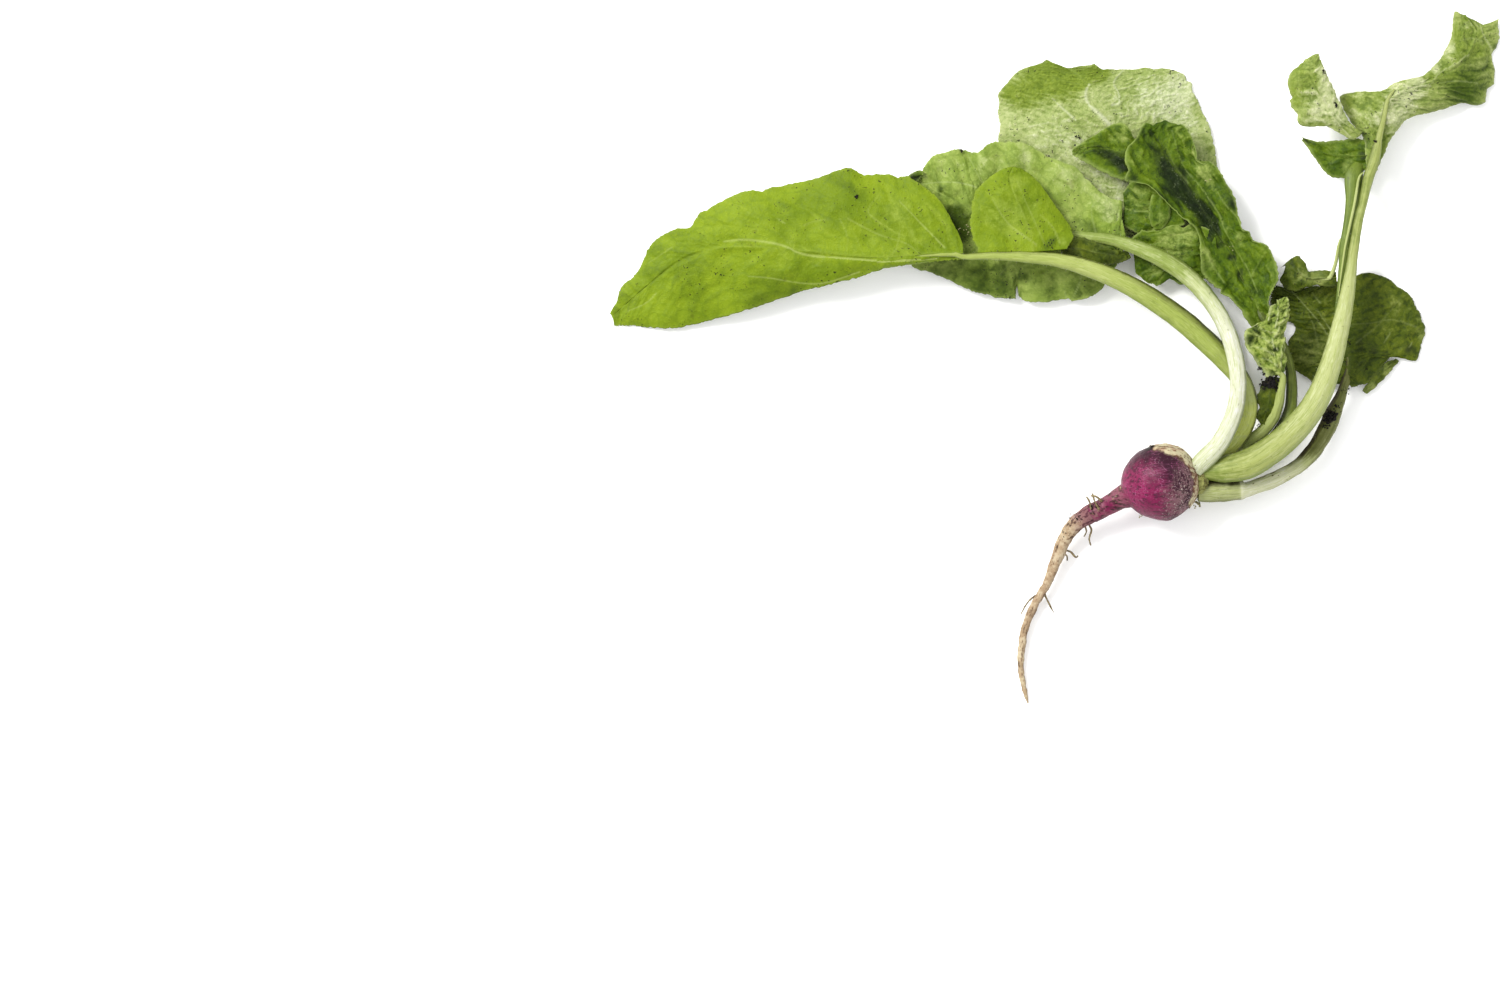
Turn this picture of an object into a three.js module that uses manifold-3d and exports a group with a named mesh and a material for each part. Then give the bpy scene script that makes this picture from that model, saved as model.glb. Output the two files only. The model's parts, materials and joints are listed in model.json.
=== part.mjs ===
// A young radish plant, pulled up and laid down: a small round bulb with its taproot, a crown,
// and seven leaves, each a fleshy stalk with a thin waved blade.
// Millimetres, +Z up. The origin is the middle of the flat spot that the bulb rests on.
// The leaves reach out along X and Y, and their lowest edges touch the surface at Z = 0.
import * as THREE from "three";
import { mergeVertices } from "three/addons/utils/BufferGeometryUtils.js";
import Module from "manifold-3d";

// Driving dimensions
const BULB_RADIUS = 9.45;
const BULB_FLAT_DEPTH = 0.25;
const BULB_HEIGHT = BULB_RADIUS - BULB_FLAT_DEPTH;
const BULB_POLE = 0.4;
const BULB_BLEND = 7;
const NECK_RADIUS = 2.6;
const BLADE_THICKNESS = 0.7;
const STALK_FLATNESS = 0.8;
const SIDE_STALK_FLATNESS = 0.5;
const CLEARANCE = 0.32;
const ROOTLET_WIDTH = 0.7;
const ROOTLET_TAPER = 0.4;

// Fineness of the facets
const STALK_SIDES = 8;
const STALK_STEP = 5;
const ROOT_SIDES = 8;
const ROOT_STEP = 2.4;
const ROOTLET_SIDES = 4;
const ROOTLET_STEP = 1.5;
const CROWN_SIDES = 16;
const CROWN_RINGS = 10;
const BULB_SIDES = 22;
const BULB_RINGS = 20;
const BLADE_COLUMNS = [0, 0.14, 0.55, 1];
const LOBE_COLUMNS = [0, 0.5, 1];

// How a blade's edge is cut and waved: the depth of the notches as a share of a tooth, how far the waves of
// one edge run ahead of the other's in radians, and the stretch at each end where both die out
const NOTCH = 0.6;
const WAVE_LEAD = 4;
const END_STRETCH = 0.04;

// Colours and surface of each kind of piece
const FINISH = {
  bulb: { color: 0x86246a, roughness: 0.45 },
  root: { color: 0xc9b287, roughness: 0.8 },
  crown: { color: 0xa89a66, roughness: 0.75 },
  paleStalk: { color: 0xdfe6b4, roughness: 0.45 },
  limeStalk: { color: 0xb0c060, roughness: 0.45 },
  brightBlade: { color: 0x96af3c, roughness: 0.6 },
  freshBlade: { color: 0x9bb45a, roughness: 0.6 },
  whitishBlade: { color: 0xc4d196, roughness: 0.7 },
  darkBlade: { color: 0x4f7320, roughness: 0.55 },
  greyBlade: { color: 0x86a254, roughness: 0.6 },
};

// The bulb's axis, from the crown through the neck to the start of the taproot
const BULB_AXIS = [
  [9.45, 0.7, BULB_HEIGHT], [0, 0, BULB_HEIGHT], [-9.2, -3.3, 8.2], [-13, -5.4, 7.2], [-17.2, -7.8, 6.2],
];

// Taproot: x, y, z and width, from the neck to the tip
const TAPROOT = [
  [-17.5, -7.9, 6.1, 4.7], [-20.6, -9.9, 5.3, 4.1], [-23.6, -13.8, 4.2, 3.5], [-25.6, -18.6, 3.4, 3],
  [-28.2, -25, 2.6, 2.2], [-31, -30, 2.1, 2], [-33.5, -35.6, 1.7, 2], [-34.5, -41, 1.5, 1.8],
  [-34.8, -46, 1.3, 1.6], [-34, -51, 1.2, 1.3], [-33, -55, 1.1, 0.8],
];

// Rootlets, from inside the taproot outwards
const ROOTLETS = [
  [[-20, -9.2, 5.6], [-19.3, -6.2, 6.8], [-18.6, -4, 7.6]],
  [[-18.9, -8.8, 5.6], [-17.2, -11.6, 4.4], [-17.7, -14, 3.2], [-17.3, -15.6, 2.4]],
  [[-19.4, -9.6, 5.2], [-18.4, -12, 4.4], [-19, -13.4, 3.8]],
  [[-24.6, -16.6, 3.6], [-22.4, -17.2, 3.2], [-21, -18.6, 2.6], [-20.5, -18.2, 2.4]],
  [[-24.8, -17.4, 3.4], [-23.3, -18.2, 3], [-23.2, -19.4, 2.6]],
  [[-28.8, -26.4, 2.4], [-27.6, -29.4, 1.8], [-26.5, -32.2, 1.2]],
  [[-29.8, -27.8, 2.2], [-32.5, -29.2, 1.8], [-34.5, -32.4, 1.2]],
];

// Crown: its middle and its half-sizes
const CROWN_MIDDLE = [9.7, 0.9, 8.5];
const CROWN_HALVES = [2.7, 5, 5.2];

// Stalks: x, y, z and width, from the crown outwards. A stalk gives way to those above it in this list.
const STALKS = {
  arched: {
    finish: "paleStalk",
    path: [
      [9.8, 3.8, 11.6, 4.4], [11.8, 6.1, 12.2, 4.7], [14.2, 9, 12.5, 4.7], [17, 13.7, 12.8, 4.4],
      [18.9, 19, 12.9, 4.2], [19.5, 26, 12.7, 4.1], [18.4, 33, 12.1, 4.1], [15.9, 40, 11.3, 4], [12.1, 46, 10.5, 3.9],
      [7.3, 51.4, 9.6, 3.6], [1.2, 55.8, 8.9, 3.2], [-4.5, 58.6, 8.4, 2.8], [-8.6, 59.9, 8.2, 2.4],
    ],
  },
  tall: {
    finish: "paleStalk",
    path: [
      [10.6, 0.8, 9.8, 4.6], [16, 2.9, 10.5, 6.2], [21.5, 4.7, 10.9, 6.9], [27, 7.8, 11.1, 7],
      [32.2, 12, 11.2, 6.8], [36.7, 17, 11.2, 6.5], [40.1, 22.7, 11.1, 6], [42.6, 29.5, 10.9, 5.4],
      [44.4, 37, 10.6, 5], [45.7, 45, 10.3, 4.4], [46.7, 53, 10, 4], [47.8, 62, 9.7, 3.7],
      [49.2, 70, 9.4, 3.4], [50.9, 76.6, 9.2, 3.1], [52, 79.8, 9.2, 2.9],
    ],
  },
  low: {
    finish: "limeStalk",
    path: [
      [10.6, -2.6, 8.4, 4], [16, -2.5, 7.8, 4.4], [21, -1.9, 7.1, 4.2], [28, 0.7, 6.1, 3.8],
      [34.4, 4.2, 5.2, 3.7], [38.2, 8, 4.6, 4], [41, 12.4, 4.2, 4.3], [43.1, 17, 3.9, 4.2], [45, 21.2, 3.7, 3.6],
      [45.7, 23.1, 3.6, 3],
    ],
  },
  long: {
    finish: "limeStalk",
    path: [
      [10.8, 3.6, 7.6, 3.7], [15, 7, 7.4, 4.3], [18.5, 10.3, 7.3, 4.5], [21.4, 15, 7.4, 4.6],
      [22.1, 20, 7.6, 4.6], [20.3, 25.6, 7.9, 4.7], [16.8, 30.6, 8.3, 4.8], [12, 35.7, 8.8, 4.9],
      [6, 41, 9.5, 4.9], [0, 45.3, 10.2, 4.7], [-8, 49.9, 11, 4.4], [-16, 53.2, 11.7, 4.1],
      [-25, 55.6, 12.3, 3.7], [-35, 56.6, 12.7, 3.1], [-43, 56.8, 12.9, 2.6], [-49, 56.6, 12.9, 2.2],
    ],
  },
  dark: {
    finish: "limeStalk",
    path: [
      [11, -1, 5, 2.6], [18, 3, 4.7, 2.8], [24, 7.2, 4.8, 2.9], [28.8, 12, 5, 2.9], [31.9, 17.6, 5.3, 2.8],
      [32.7, 24, 5.7, 2.7], [32.1, 30, 6, 2.6], [29.9, 35.4, 6.2, 2.5], [27, 39, 6.3, 2.4],
    ],
  },
  young: {
    finish: "limeStalk",
    path: [
      [11.2, 2, 5.2, 1.9], [17, 6.6, 4.2, 2], [21.5, 10.3, 4.3, 2], [25.5, 13.8, 5.6, 2], [28.3, 17.8, 7.4, 2],
      [29.8, 22, 9, 2], [30.1, 26.6, 10.6, 2],
    ],
  },
  broad: {
    finish: "limeStalk",
    path: [
      [10.9, 3.9, 5.1, 2.4], [14.6, 9.2, 3.2, 2.6], [17.6, 16, 2.4, 2.7], [18.6, 24, 2.3, 2.8], [17.8, 32, 2.3, 2.8],
      [15, 40, 2.3, 2.8], [11, 47, 2.3, 2.7], [6, 54, 2.4, 2.5], [1.8, 59, 2.4, 2.2],
    ],
  },
};

// The green wing down the side of the tall stalk, which thins to a stalk that carries the small leaflet
const SIDE_STALK = [
  [48.9, 77, 9, 3.8], [48.1, 73.4, 9, 3.6], [47.4, 68, 9.2, 2.7], [46.2, 63, 9.3, 1.7], [44.9, 58.6, 9, 1.3],
  [44.2, 55.2, 8.1, 1.2], [44, 52.6, 7.3, 1.1],
];

// Blades: each rung is one edge, the rib and the other edge, from the base of the blade to its tip.
// columns are the lines of facets across each half, as shares of its width, and steps the rows along it.
// rib is the midrib's thickness at the base. teeth is how many and how long, waves how many and how high,
// and arch how far each half swells up between the rib and its edge.
const BLADES = {
  blade_long: {
    finish: "brightBlade", columns: BLADE_COLUMNS, steps: 44, rib: 2.1, teeth: [11, 1.4], waves: [6, 0.5], arch: 0.8,
    rungs: [
      [[-49.6, 59.6, 12.3], [-49.5, 57.2, 12.9], [-49.6, 55.6, 12.5]],
      [[-52, 66, 11.4], [-53, 57.2, 12.9], [-53, 55.4, 12.2]],
      [[-56.5, 72, 10.4], [-57.5, 57, 12.8], [-57.5, 55, 12]],
      [[-64, 76.2, 9.4], [-64, 56.4, 12.5], [-64, 54.2, 11.4]],
      [[-74.5, 77.2, 8.6], [-72, 56.2, 12], [-72, 53, 10.4]],
      [[-86, 75.8, 7.8], [-81, 57, 11.3], [-80, 51, 9.2]],
      [[-98.5, 73, 6.6], [-91, 58, 10.2], [-90, 48.4, 7.6]],
      [[-110, 70, 5.2], [-101, 58.8, 8.8], [-101, 45.2, 5.6]],
      [[-118, 64, 3.6], [-110.5, 58.6, 6.8], [-113, 41.6, 3.4]],
      [[-126.2, 60.2, 2], [-119.5, 55.6, 4.6], [-122, 39.4, 1.6]],
      [[-130.4, 53, 1.1], [-127.6, 49.6, 2.4], [-129.6, 39.4, 0.9]],
      [[-134.6, 48, 0.7], [-133, 45, 1.2], [-133.6, 39.8, 0.5]],
      [[-137.6, 42.8, 0.5], [-137, 41.6, 0.6], [-136.4, 40.2, 0.45]],
    ],
  },
  lobe_long: {
    finish: "brightBlade", columns: LOBE_COLUMNS, steps: 16, rib: 0.9, teeth: [3, 0.5], waves: [2, 0.3], arch: 0.4,
    rungs: [
      [[-24, 58.6, 12.1], [-32, 59.2, 12.4], [-46.2, 59, 12.7]],
      [[-22.2, 61.6, 11], [-33, 63, 12], [-46.8, 63, 12]],
      [[-24, 66.6, 10.4], [-35, 68, 11.7], [-47.2, 68, 11.2]],
      [[-27.4, 72, 10], [-37, 72.6, 11.2], [-46, 72.6, 10.6]],
      [[-31, 76, 9.8], [-38, 76, 10.6], [-42.6, 76.4, 10.2]],
      [[-34, 78.3, 9.8], [-37, 78.7, 10], [-39.6, 78.4, 9.9]],
    ],
  },
  blade_arched: {
    finish: "freshBlade", columns: BLADE_COLUMNS, steps: 44, rib: 2.2, teeth: [11, 1.2], waves: [7, 0.5], arch: 0.7,
    rungs: [
      [[-8.9, 62, 7.5], [-9.3, 60.1, 8.1], [-9.4, 58.4, 7.6]],
      [[-9.6, 66, 6.7], [-11.8, 60.8, 7.8], [-10.8, 55, 6.4]],
      [[-9.8, 72, 6.3], [-16, 61.4, 7.6], [-13.8, 50, 4.8]],
      [[-15, 76.4, 6], [-23, 62.2, 7.3], [-18.5, 46.4, 3.8]],
      [[-24, 80.4, 5.6], [-30, 63.4, 7], [-26, 45, 3.2]],
      [[-32, 84, 5.2], [-35.5, 64.6, 6.8], [-34, 46, 3.2]],
      [[-38, 85.4, 5], [-39.5, 65.6, 6.7], [-35.6, 52, 4.8]],
      [[-44, 84.6, 5], [-43.5, 67, 6.6], [-38.5, 46, 3.2]],
      [[-47, 82.8, 5], [-47.5, 68.6, 6.5], [-46, 47.4, 3.2]],
      [[-51.5, 83.4, 5.2], [-52, 70.8, 6.3], [-54, 51, 3.6]],
      [[-57, 82, 5.2], [-56.5, 73, 6.1], [-60, 58, 4.2]],
      [[-59.4, 78.6, 5.4], [-60, 75.2, 5.8], [-62.6, 66, 5]],
      [[-62, 77.6, 5.6], [-63, 76.6, 5.7], [-64, 74.6, 5.4]],
    ],
  },
  blade_broad: {
    finish: "whitishBlade", columns: BLADE_COLUMNS, steps: 44, rib: 1.9, teeth: [11, 1.5], waves: [6, 0.3], arch: 0.5,
    rungs: [
      [[-0.6, 60.6, 2], [1.1, 60, 2.4], [2.8, 60.9, 2]],
      [[-12, 62, 1.6], [-1, 66, 2.4], [9, 65, 1.5]],
      [[-21, 65, 1.4], [-3, 72, 2.4], [12.6, 74, 1.3]],
      [[-27, 70, 1.3], [-6, 78, 2.3], [13.4, 80, 1.1]],
      [[-34, 76, 1.2], [-8.5, 84, 2.2], [12.6, 86, 1]],
      [[-39.2, 83.5, 1], [-11.5, 89.5, 2.1], [11.2, 91.5, 0.9]],
      [[-40, 90.5, 0.9], [-15, 95, 1.9], [9, 97, 0.8]],
      [[-40, 96.5, 0.8], [-18, 99, 1.6], [6.3, 101.2, 0.7]],
      [[-36, 102.4, 0.7], [-20.5, 102, 1.2], [-1, 102.8, 0.6]],
      [[-30, 104.6, 0.6], [-22.5, 103.6, 0.9], [-13, 103.2, 0.55]],
      [[-26.5, 104.8, 0.5], [-23.5, 104.4, 0.6], [-19.5, 104, 0.5]],
    ],
  },
  blade_dark: {
    finish: "darkBlade", columns: BLADE_COLUMNS, steps: 44, rib: 2.1, teeth: [11, 1.2], waves: [8, 0.4], arch: -0.5,
    rungs: [
      [[23.6, 39.2, 7], [26.6, 39.5, 6.4], [28, 40.6, 6.9]],
      [[20.4, 42.4, 7.8], [23.8, 44.5, 5.9], [27, 46, 8.2]],
      [[17.5, 45.8, 7.8], [22, 48.5, 5.7], [29, 50, 8.8]],
      [[15.4, 47.8, 7.4], [20, 52, 5.7], [29, 54.5, 9]],
      [[12.4, 51.4, 7.4], [17.5, 57, 5.9], [27, 58.8, 9]],
      [[10.9, 57, 7.9], [14.5, 61.5, 6.1], [22.5, 62, 9]],
      [[8.5, 63, 8.3], [11.5, 66.5, 6.3], [20.3, 66, 9.2]],
      [[2.5, 66, 8.8], [8, 71.5, 6.7], [18.6, 71, 9.2]],
      [[-2, 71, 9.2], [5, 76, 7.2], [16, 76.5, 9.2]],
      [[-7.4, 77, 9.8], [2, 80, 7.6], [13, 80.5, 9.4]],
      [[-8.4, 82.5, 10], [0, 84, 8], [10, 84.5, 9.6]],
      [[-5.6, 87, 10], [-1, 87.5, 8.5], [8, 87.3, 9.5]],
      [[-4, 89.3, 9.8], [-0.3, 89.8, 8.9], [5, 89.5, 9.3]],
    ],
  },
  lobe_dark_upper: {
    finish: "darkBlade", columns: LOBE_COLUMNS, steps: 14, rib: 0.9, teeth: [3, 0.4], waves: [2, 0.2], arch: 0.3,
    rungs: [
      [[-6, 86, 7.9], [-6.6, 82, 7.6], [-7, 78.2, 7.7]],
      [[-9, 89.4, 7.8], [-9.2, 82.2, 7.2], [-10, 76.6, 7.2]],
      [[-12.5, 89.6, 7.6], [-12.8, 83.2, 7], [-14, 78.4, 7]],
      [[-16.5, 87.4, 7.4], [-16.7, 83.8, 6.9], [-17.5, 80.3, 6.9]],
      [[-20, 84.6, 7], [-20.1, 83.2, 6.8], [-20.5, 81.6, 6.8]],
      [[-22, 83.2, 6.8], [-22.2, 82.7, 6.8], [-22, 82.2, 6.8]],
    ],
  },
  lobe_dark_middle: {
    finish: "darkBlade", columns: LOBE_COLUMNS, steps: 12, rib: 0.9, teeth: [3, 0.4], waves: [2, 0.2], arch: 0.3,
    rungs: [
      [[-1.6, 73.4, 7.5], [0.6, 69.4, 6.9], [3, 65.4, 7]],
      [[-4.4, 75, 6.6], [-2.6, 68.8, 6], [-1.8, 63, 5.6]],
      [[-7.4, 74.6, 5.2], [-6, 68.8, 5.2], [-5.2, 62, 5]],
      [[-8.6, 72, 4.7], [-8.3, 69, 4.7], [-8.4, 64.4, 4.6]],
    ],
  },
  lobe_dark_lower: {
    finish: "darkBlade", columns: LOBE_COLUMNS, steps: 14, rib: 0.9, teeth: [3, 0.5], waves: [2, 0.2], arch: 0.3,
    rungs: [
      [[8.9, 60.8, 6.6], [10.4, 57, 6.3], [10, 52.6, 6.1]],
      [[5.5, 63.6, 5.9], [5.5, 57, 5.7], [5.6, 50.4, 5.4]],
      [[0.4, 62.2, 5.4], [-0.2, 56, 5.4], [-0.8, 49.2, 4.9]],
      [[-4, 59.8, 5.2], [-4.2, 55, 5.2], [-4.2, 50, 4.8]],
      [[-6, 57.4, 5], [-6.2, 55, 5], [-6.1, 52.2, 4.8]],
    ],
  },
  blade_young: {
    finish: "freshBlade", columns: BLADE_COLUMNS, steps: 28, rib: 1.6, teeth: [7, 0.9], waves: [5, 0.5], arch: 0.4,
    rungs: [
      [[28.6, 27.6, 10.8], [30, 27.8, 11], [31.3, 28, 10.8]],
      [[24.4, 30, 11.2], [29.6, 31, 12], [31.6, 31, 11.2]],
      [[21.6, 34.2, 11.4], [28.4, 35, 12.8], [31.8, 35, 11.6]],
      [[21.2, 37.6, 11.6], [27.5, 38.5, 13], [31.9, 38.5, 11.8]],
      [[24.5, 40.3, 11.8], [28.3, 41.5, 13], [32, 41.5, 11.8]],
      [[26.8, 43.4, 11.8], [29.3, 44, 12.6], [32, 44, 11.6]],
      [[29.3, 45.6, 11.6], [30.5, 45.9, 12], [31.8, 45.6, 11.4]],
    ],
  },
  lobe_young: {
    finish: "darkBlade", columns: LOBE_COLUMNS, steps: 12, rib: 0.8, teeth: [3, 0.4], waves: [2, 0.2], arch: 0.2,
    rungs: [
      [[25.6, 26.4, 10.4], [27.2, 26.6, 10.6], [28.6, 26.2, 10.4]],
      [[25.3, 22.8, 9.8], [26.8, 22.4, 10], [28.2, 22.2, 9.8]],
      [[25.2, 19.4, 9.2], [26.4, 19, 9.4], [27.5, 18.6, 9.1]],
      [[25.1, 16.2, 8.6], [25.9, 16, 8.7], [26.7, 15.8, 8.5]],
      [[25, 14.4, 8.2], [25.4, 14.3, 8.2], [25.8, 14.2, 8.2]],
    ],
  },
  blade_tall: {
    finish: "greyBlade", columns: BLADE_COLUMNS, steps: 44, rib: 2.6, teeth: [11, 1], waves: [5, 0.4], arch: 0.6,
    rungs: [
      [[50.9, 80.8, 8.8], [52.4, 80.6, 9.2], [54, 80.2, 8.8]],
      [[50.4, 86.2, 7.8], [53.8, 86.2, 9.3], [57, 85.2, 8]],
      [[47, 90.6, 6.6], [55.2, 90.5, 9.5], [59.6, 88.6, 7.4]],
      [[45.6, 96, 6.2], [56.2, 94, 9.7], [62, 91, 6.6]],
      [[49.6, 97.4, 6.8], [58, 96.4, 9.6], [66.5, 92.6, 5.4]],
      [[54.8, 97.4, 7.6], [61.5, 98, 9.2], [71.5, 94.2, 4.2]],
      [[60, 99.9, 7.8], [66, 99.6, 8.4], [75.5, 95.4, 3]],
      [[66, 101.8, 7.4], [70.5, 101.6, 7.2], [80.4, 95.6, 1.8]],
      [[70, 105.5, 6.2], [74.5, 104.6, 5.8], [82.6, 99.8, 1]],
      [[72.6, 111, 4.4], [77.5, 108.6, 4.2], [83.4, 104.6, 0.7]],
      [[73.9, 117.6, 2.4], [79, 112.6, 2.8], [83.8, 111, 0.9]],
      [[77.6, 116, 1.6], [80.6, 114.4, 1.8], [84.2, 115.6, 1.1]],
    ],
  },
  lobe_tall_upper: {
    finish: "greyBlade", columns: LOBE_COLUMNS, steps: 18, rib: 1.1, teeth: [5, 0.6], waves: [3, 0.3], arch: 0.3,
    rungs: [
      [[48.4, 85.9, 8.9], [49.4, 86.5, 9.1], [50.2, 87.6, 9]],
      [[44, 88, 10], [46.3, 88.9, 10.4], [47.4, 90.4, 10]],
      [[39.5, 89, 10.8], [43.2, 91.8, 11.6], [45.7, 94, 11]],
      [[34.6, 90, 11.2], [40.2, 95, 12.6], [44.2, 97, 11.7]],
      [[33, 94.4, 11.4], [38.2, 98.6, 13.2], [42.4, 100.4, 12.2]],
      [[31.8, 99.5, 11.6], [37.2, 102.2, 13.4], [40.8, 103.8, 12.4]],
      [[33.6, 103.3, 11.8], [37.2, 104.8, 13], [39.6, 106.2, 12.3]],
      [[36.8, 106, 12], [38, 106.6, 12.4], [39.2, 107, 12.2]],
    ],
  },
  lobe_tall_lower: {
    finish: "greyBlade", columns: LOBE_COLUMNS, steps: 14, rib: 1, teeth: [3, 0.4], waves: [2, 0.3], arch: 0.3,
    rungs: [
      [[50.2, 84.8, 7.3], [50.3, 82, 7.4], [48.8, 79.4, 6.9]],
      [[48.4, 85.8, 6.6], [47.6, 81.8, 7], [46, 76.9, 6]],
      [[45, 85.4, 6.2], [44, 81.6, 6.8], [42.6, 77, 5.2]],
      [[40.5, 85, 5.8], [40.2, 82.6, 6.2], [39.6, 80.4, 4.8]],
      [[37.6, 85.6, 5.4], [37.4, 84.6, 5.5], [37.2, 83.6, 5]],
      [[35.6, 86.5, 5.2], [35.4, 86, 5.2], [35.5, 85.5, 5.1]],
    ],
  },
  leaflet_tall: {
    finish: "darkBlade", columns: LOBE_COLUMNS, steps: 14, rib: 1, teeth: [3, 0.4], waves: [2, 0.2], arch: 0.3,
    rungs: [
      [[42.8, 53, 6.8], [42.9, 51.2, 7.1], [42.9, 49.6, 6.8]],
      [[40, 53, 6.8], [40, 51, 7.2], [40, 49.5, 6.8]],
      [[37.2, 53.2, 6.4], [36.8, 51, 7], [36.4, 48.8, 6]],
      [[35.8, 55.2, 5.6], [34.6, 52.2, 6.4], [33.4, 48.4, 5]],
      [[33.8, 56.5, 5], [32.6, 53.4, 5.8], [31.2, 49.4, 4.6]],
      [[31.4, 55, 4.6], [31, 53.4, 5], [30.3, 51.4, 4.6]],
    ],
  },
  blade_low: {
    finish: "darkBlade", columns: BLADE_COLUMNS, steps: 44, rib: 2, teeth: [11, 1.2], waves: [6, 0.3], arch: 0.6,
    rungs: [
      [[44.8, 24.8, 3.2], [46.3, 24.9, 3.6], [47.8, 24.4, 3.2]],
      [[40, 24.8, 2.2], [46.8, 27.6, 3.5], [51, 22.9, 2]],
      [[36, 27.2, 1.4], [47, 31, 3.4], [59.2, 30.6, 1.1]],
      [[33.6, 29.8, 1.1], [46.6, 34, 3.3], [64, 30.8, 0.9]],
      [[32.6, 34.5, 1], [45.3, 36.6, 3.2], [65.8, 37.6, 0.8]],
      [[33.8, 38.5, 1.1], [43, 39.3, 3.1], [64.6, 42.5, 0.8]],
      [[30.8, 42, 1], [40, 42, 2.9], [62.2, 46.2, 0.8]],
      [[28.4, 44.5, 0.9], [36.8, 44.6, 2.6], [57.8, 50.3, 0.9]],
      [[27.6, 47, 0.8], [33.6, 46.8, 2], [52.5, 51.8, 1]],
      [[28, 48.6, 0.8], [31, 48.2, 1.4], [44, 49, 1.4]],
      [[28.6, 49.4, 0.7], [29.9, 49, 0.9], [33.5, 47.9, 1]],
    ],
  },
};

const wasm = await Module();
wasm.setup();

const vector = (point) => new THREE.Vector3(point[0], point[1], point[2]);
const railOf = (points) => new THREE.CatmullRomCurve3(points.map(vector), false, "centripetal");

// A closed mesh from its corners and triangles
function meshOf(corners, triangles) {
  const geometry = new THREE.BufferGeometry();
  geometry.setAttribute("position", new THREE.Float32BufferAttribute(corners.flatMap((p) => [p.x, p.y, p.z]), 3));
  geometry.setIndex(triangles.flat());
  return geometry;
}

// A three.js mesh as a solid that can be joined and cut
function solidOf(geometry) {
  const plain = geometry.clone();
  plain.deleteAttribute("normal");
  plain.deleteAttribute("uv");
  const merged = mergeVertices(plain);
  return new wasm.Manifold(new wasm.Mesh({
    numProp: 3,
    vertProperties: new Float32Array(merged.attributes.position.array),
    triVerts: new Uint32Array(merged.index.array),
  }));
}

function geometryOf(solid) {
  const mesh = solid.getMesh();
  const geometry = new THREE.BufferGeometry();
  geometry.setAttribute("position", new THREE.BufferAttribute(new Float32Array(mesh.vertProperties), 3));
  geometry.setIndex(new THREE.BufferAttribute(new Uint32Array(mesh.triVerts), 1));
  return geometry;
}

// The largest body of a cut solid, without the scraps that a cut can leave
const mainPiece = (solid) => solid.decompose().reduce((best, piece) => (piece.volume() > best.volume() ? piece : best));

// Rings of corners, joined one to the next and closed by a fan at each end
function loft(rings) {
  const sides = rings[0].length;
  const corners = rings.flat();
  const triangles = [];
  for (let ring = 0; ring + 1 < rings.length; ring += 1) {
    for (let side = 0; side < sides; side += 1) {
      const next = (side + 1) % sides;
      const [a, b] = [ring * sides + side, ring * sides + next];
      const [c, d] = [a + sides, b + sides];
      triangles.push([a, b, d], [a, d, c]);
    }
  }
  for (const [ring, outward] of [[0, false], [rings.length - 1, true]]) {
    const middle = new THREE.Vector3();
    rings[ring].forEach((corner) => middle.addScaledVector(corner, 1 / sides));
    const hub = corners.push(middle) - 1;
    for (let side = 0; side < sides; side += 1) {
      const [a, b] = [ring * sides + side, ring * sides + ((side + 1) % sides)];
      triangles.push(outward ? [a, b, hub] : [b, a, hub]);
    }
  }
  return meshOf(corners, triangles);
}

// One ring round a curve, with its flat way level
function ringAt(middle, along, width, height, sides) {
  const across = new THREE.Vector3().crossVectors(along, new THREE.Vector3(0, 0, 1)).normalize();
  const up = new THREE.Vector3().crossVectors(across, along).normalize();
  return Array.from({ length: sides }, (_, side) => {
    const angle = (-2 * Math.PI * (side + 0.5)) / sides;
    return middle.clone()
      .addScaledVector(across, (Math.cos(angle) * width) / 2)
      .addScaledVector(up, (Math.sin(angle) * height) / 2);
  });
}

// A tapered stem along x, y, z, width points, swollen by a margin all round and past both ends
function stem(path, sides, flatness, step, margin = 0) {
  const rail = railOf(path);
  const widths = railOf(path.map((point) => [point[3], 0, 0]));
  const count = Math.max(4, Math.round(rail.getLength() / step));
  const rings = [];
  for (let i = 0; i <= count; i += 1) {
    const t = i / count;
    const along = rail.getTangent(t);
    const middle = rail.getPoint(t);
    const end = i === 0 ? -margin : i === count ? margin : 0;
    const width = widths.getPoint(t).x;
    rings.push(ringAt(
      middle.addScaledVector(along, end), along, width + 2 * margin, width * flatness + 2 * margin, sides));
  }
  return loft(rings);
}

// A bulb: a sphere that runs smoothly into a neck, along a bent axis, swollen by a margin
function bulbBody(margin = 0) {
  const rail = railOf(BULB_AXIS);
  const length = rail.getLength();
  const rings = [];
  for (let i = 0; i <= BULB_RINGS; i += 1) {
    const turned = i / BULB_RINGS;
    const run = (1 - Math.cos((Math.PI * turned) / 2)) * length;
    const along = rail.getTangentAt(run / length);
    const middle = rail.getPointAt(run / length);
    const reach = run - BULB_RADIUS;
    const ball = Math.sqrt(Math.max((BULB_RADIUS + margin) ** 2 - reach ** 2, 0));
    const neck = run > BULB_RADIUS ? NECK_RADIUS + margin : 0;
    const radius = Math.max((ball ** BULB_BLEND + neck ** BULB_BLEND) ** (1 / BULB_BLEND), BULB_POLE);
    const end = i === 0 ? -margin : i === BULB_RINGS ? margin : 0;
    rings.push(ringAt(middle.addScaledVector(along, end), along, 2 * radius, 2 * radius, BULB_SIDES));
  }
  return loft(rings);
}

// How far an edge stands out at a place along it: rounded teeth with a sharp notch between them
const toothAt = (t, count) => Math.abs(Math.sin(Math.PI * count * t)) - NOTCH;

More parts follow.
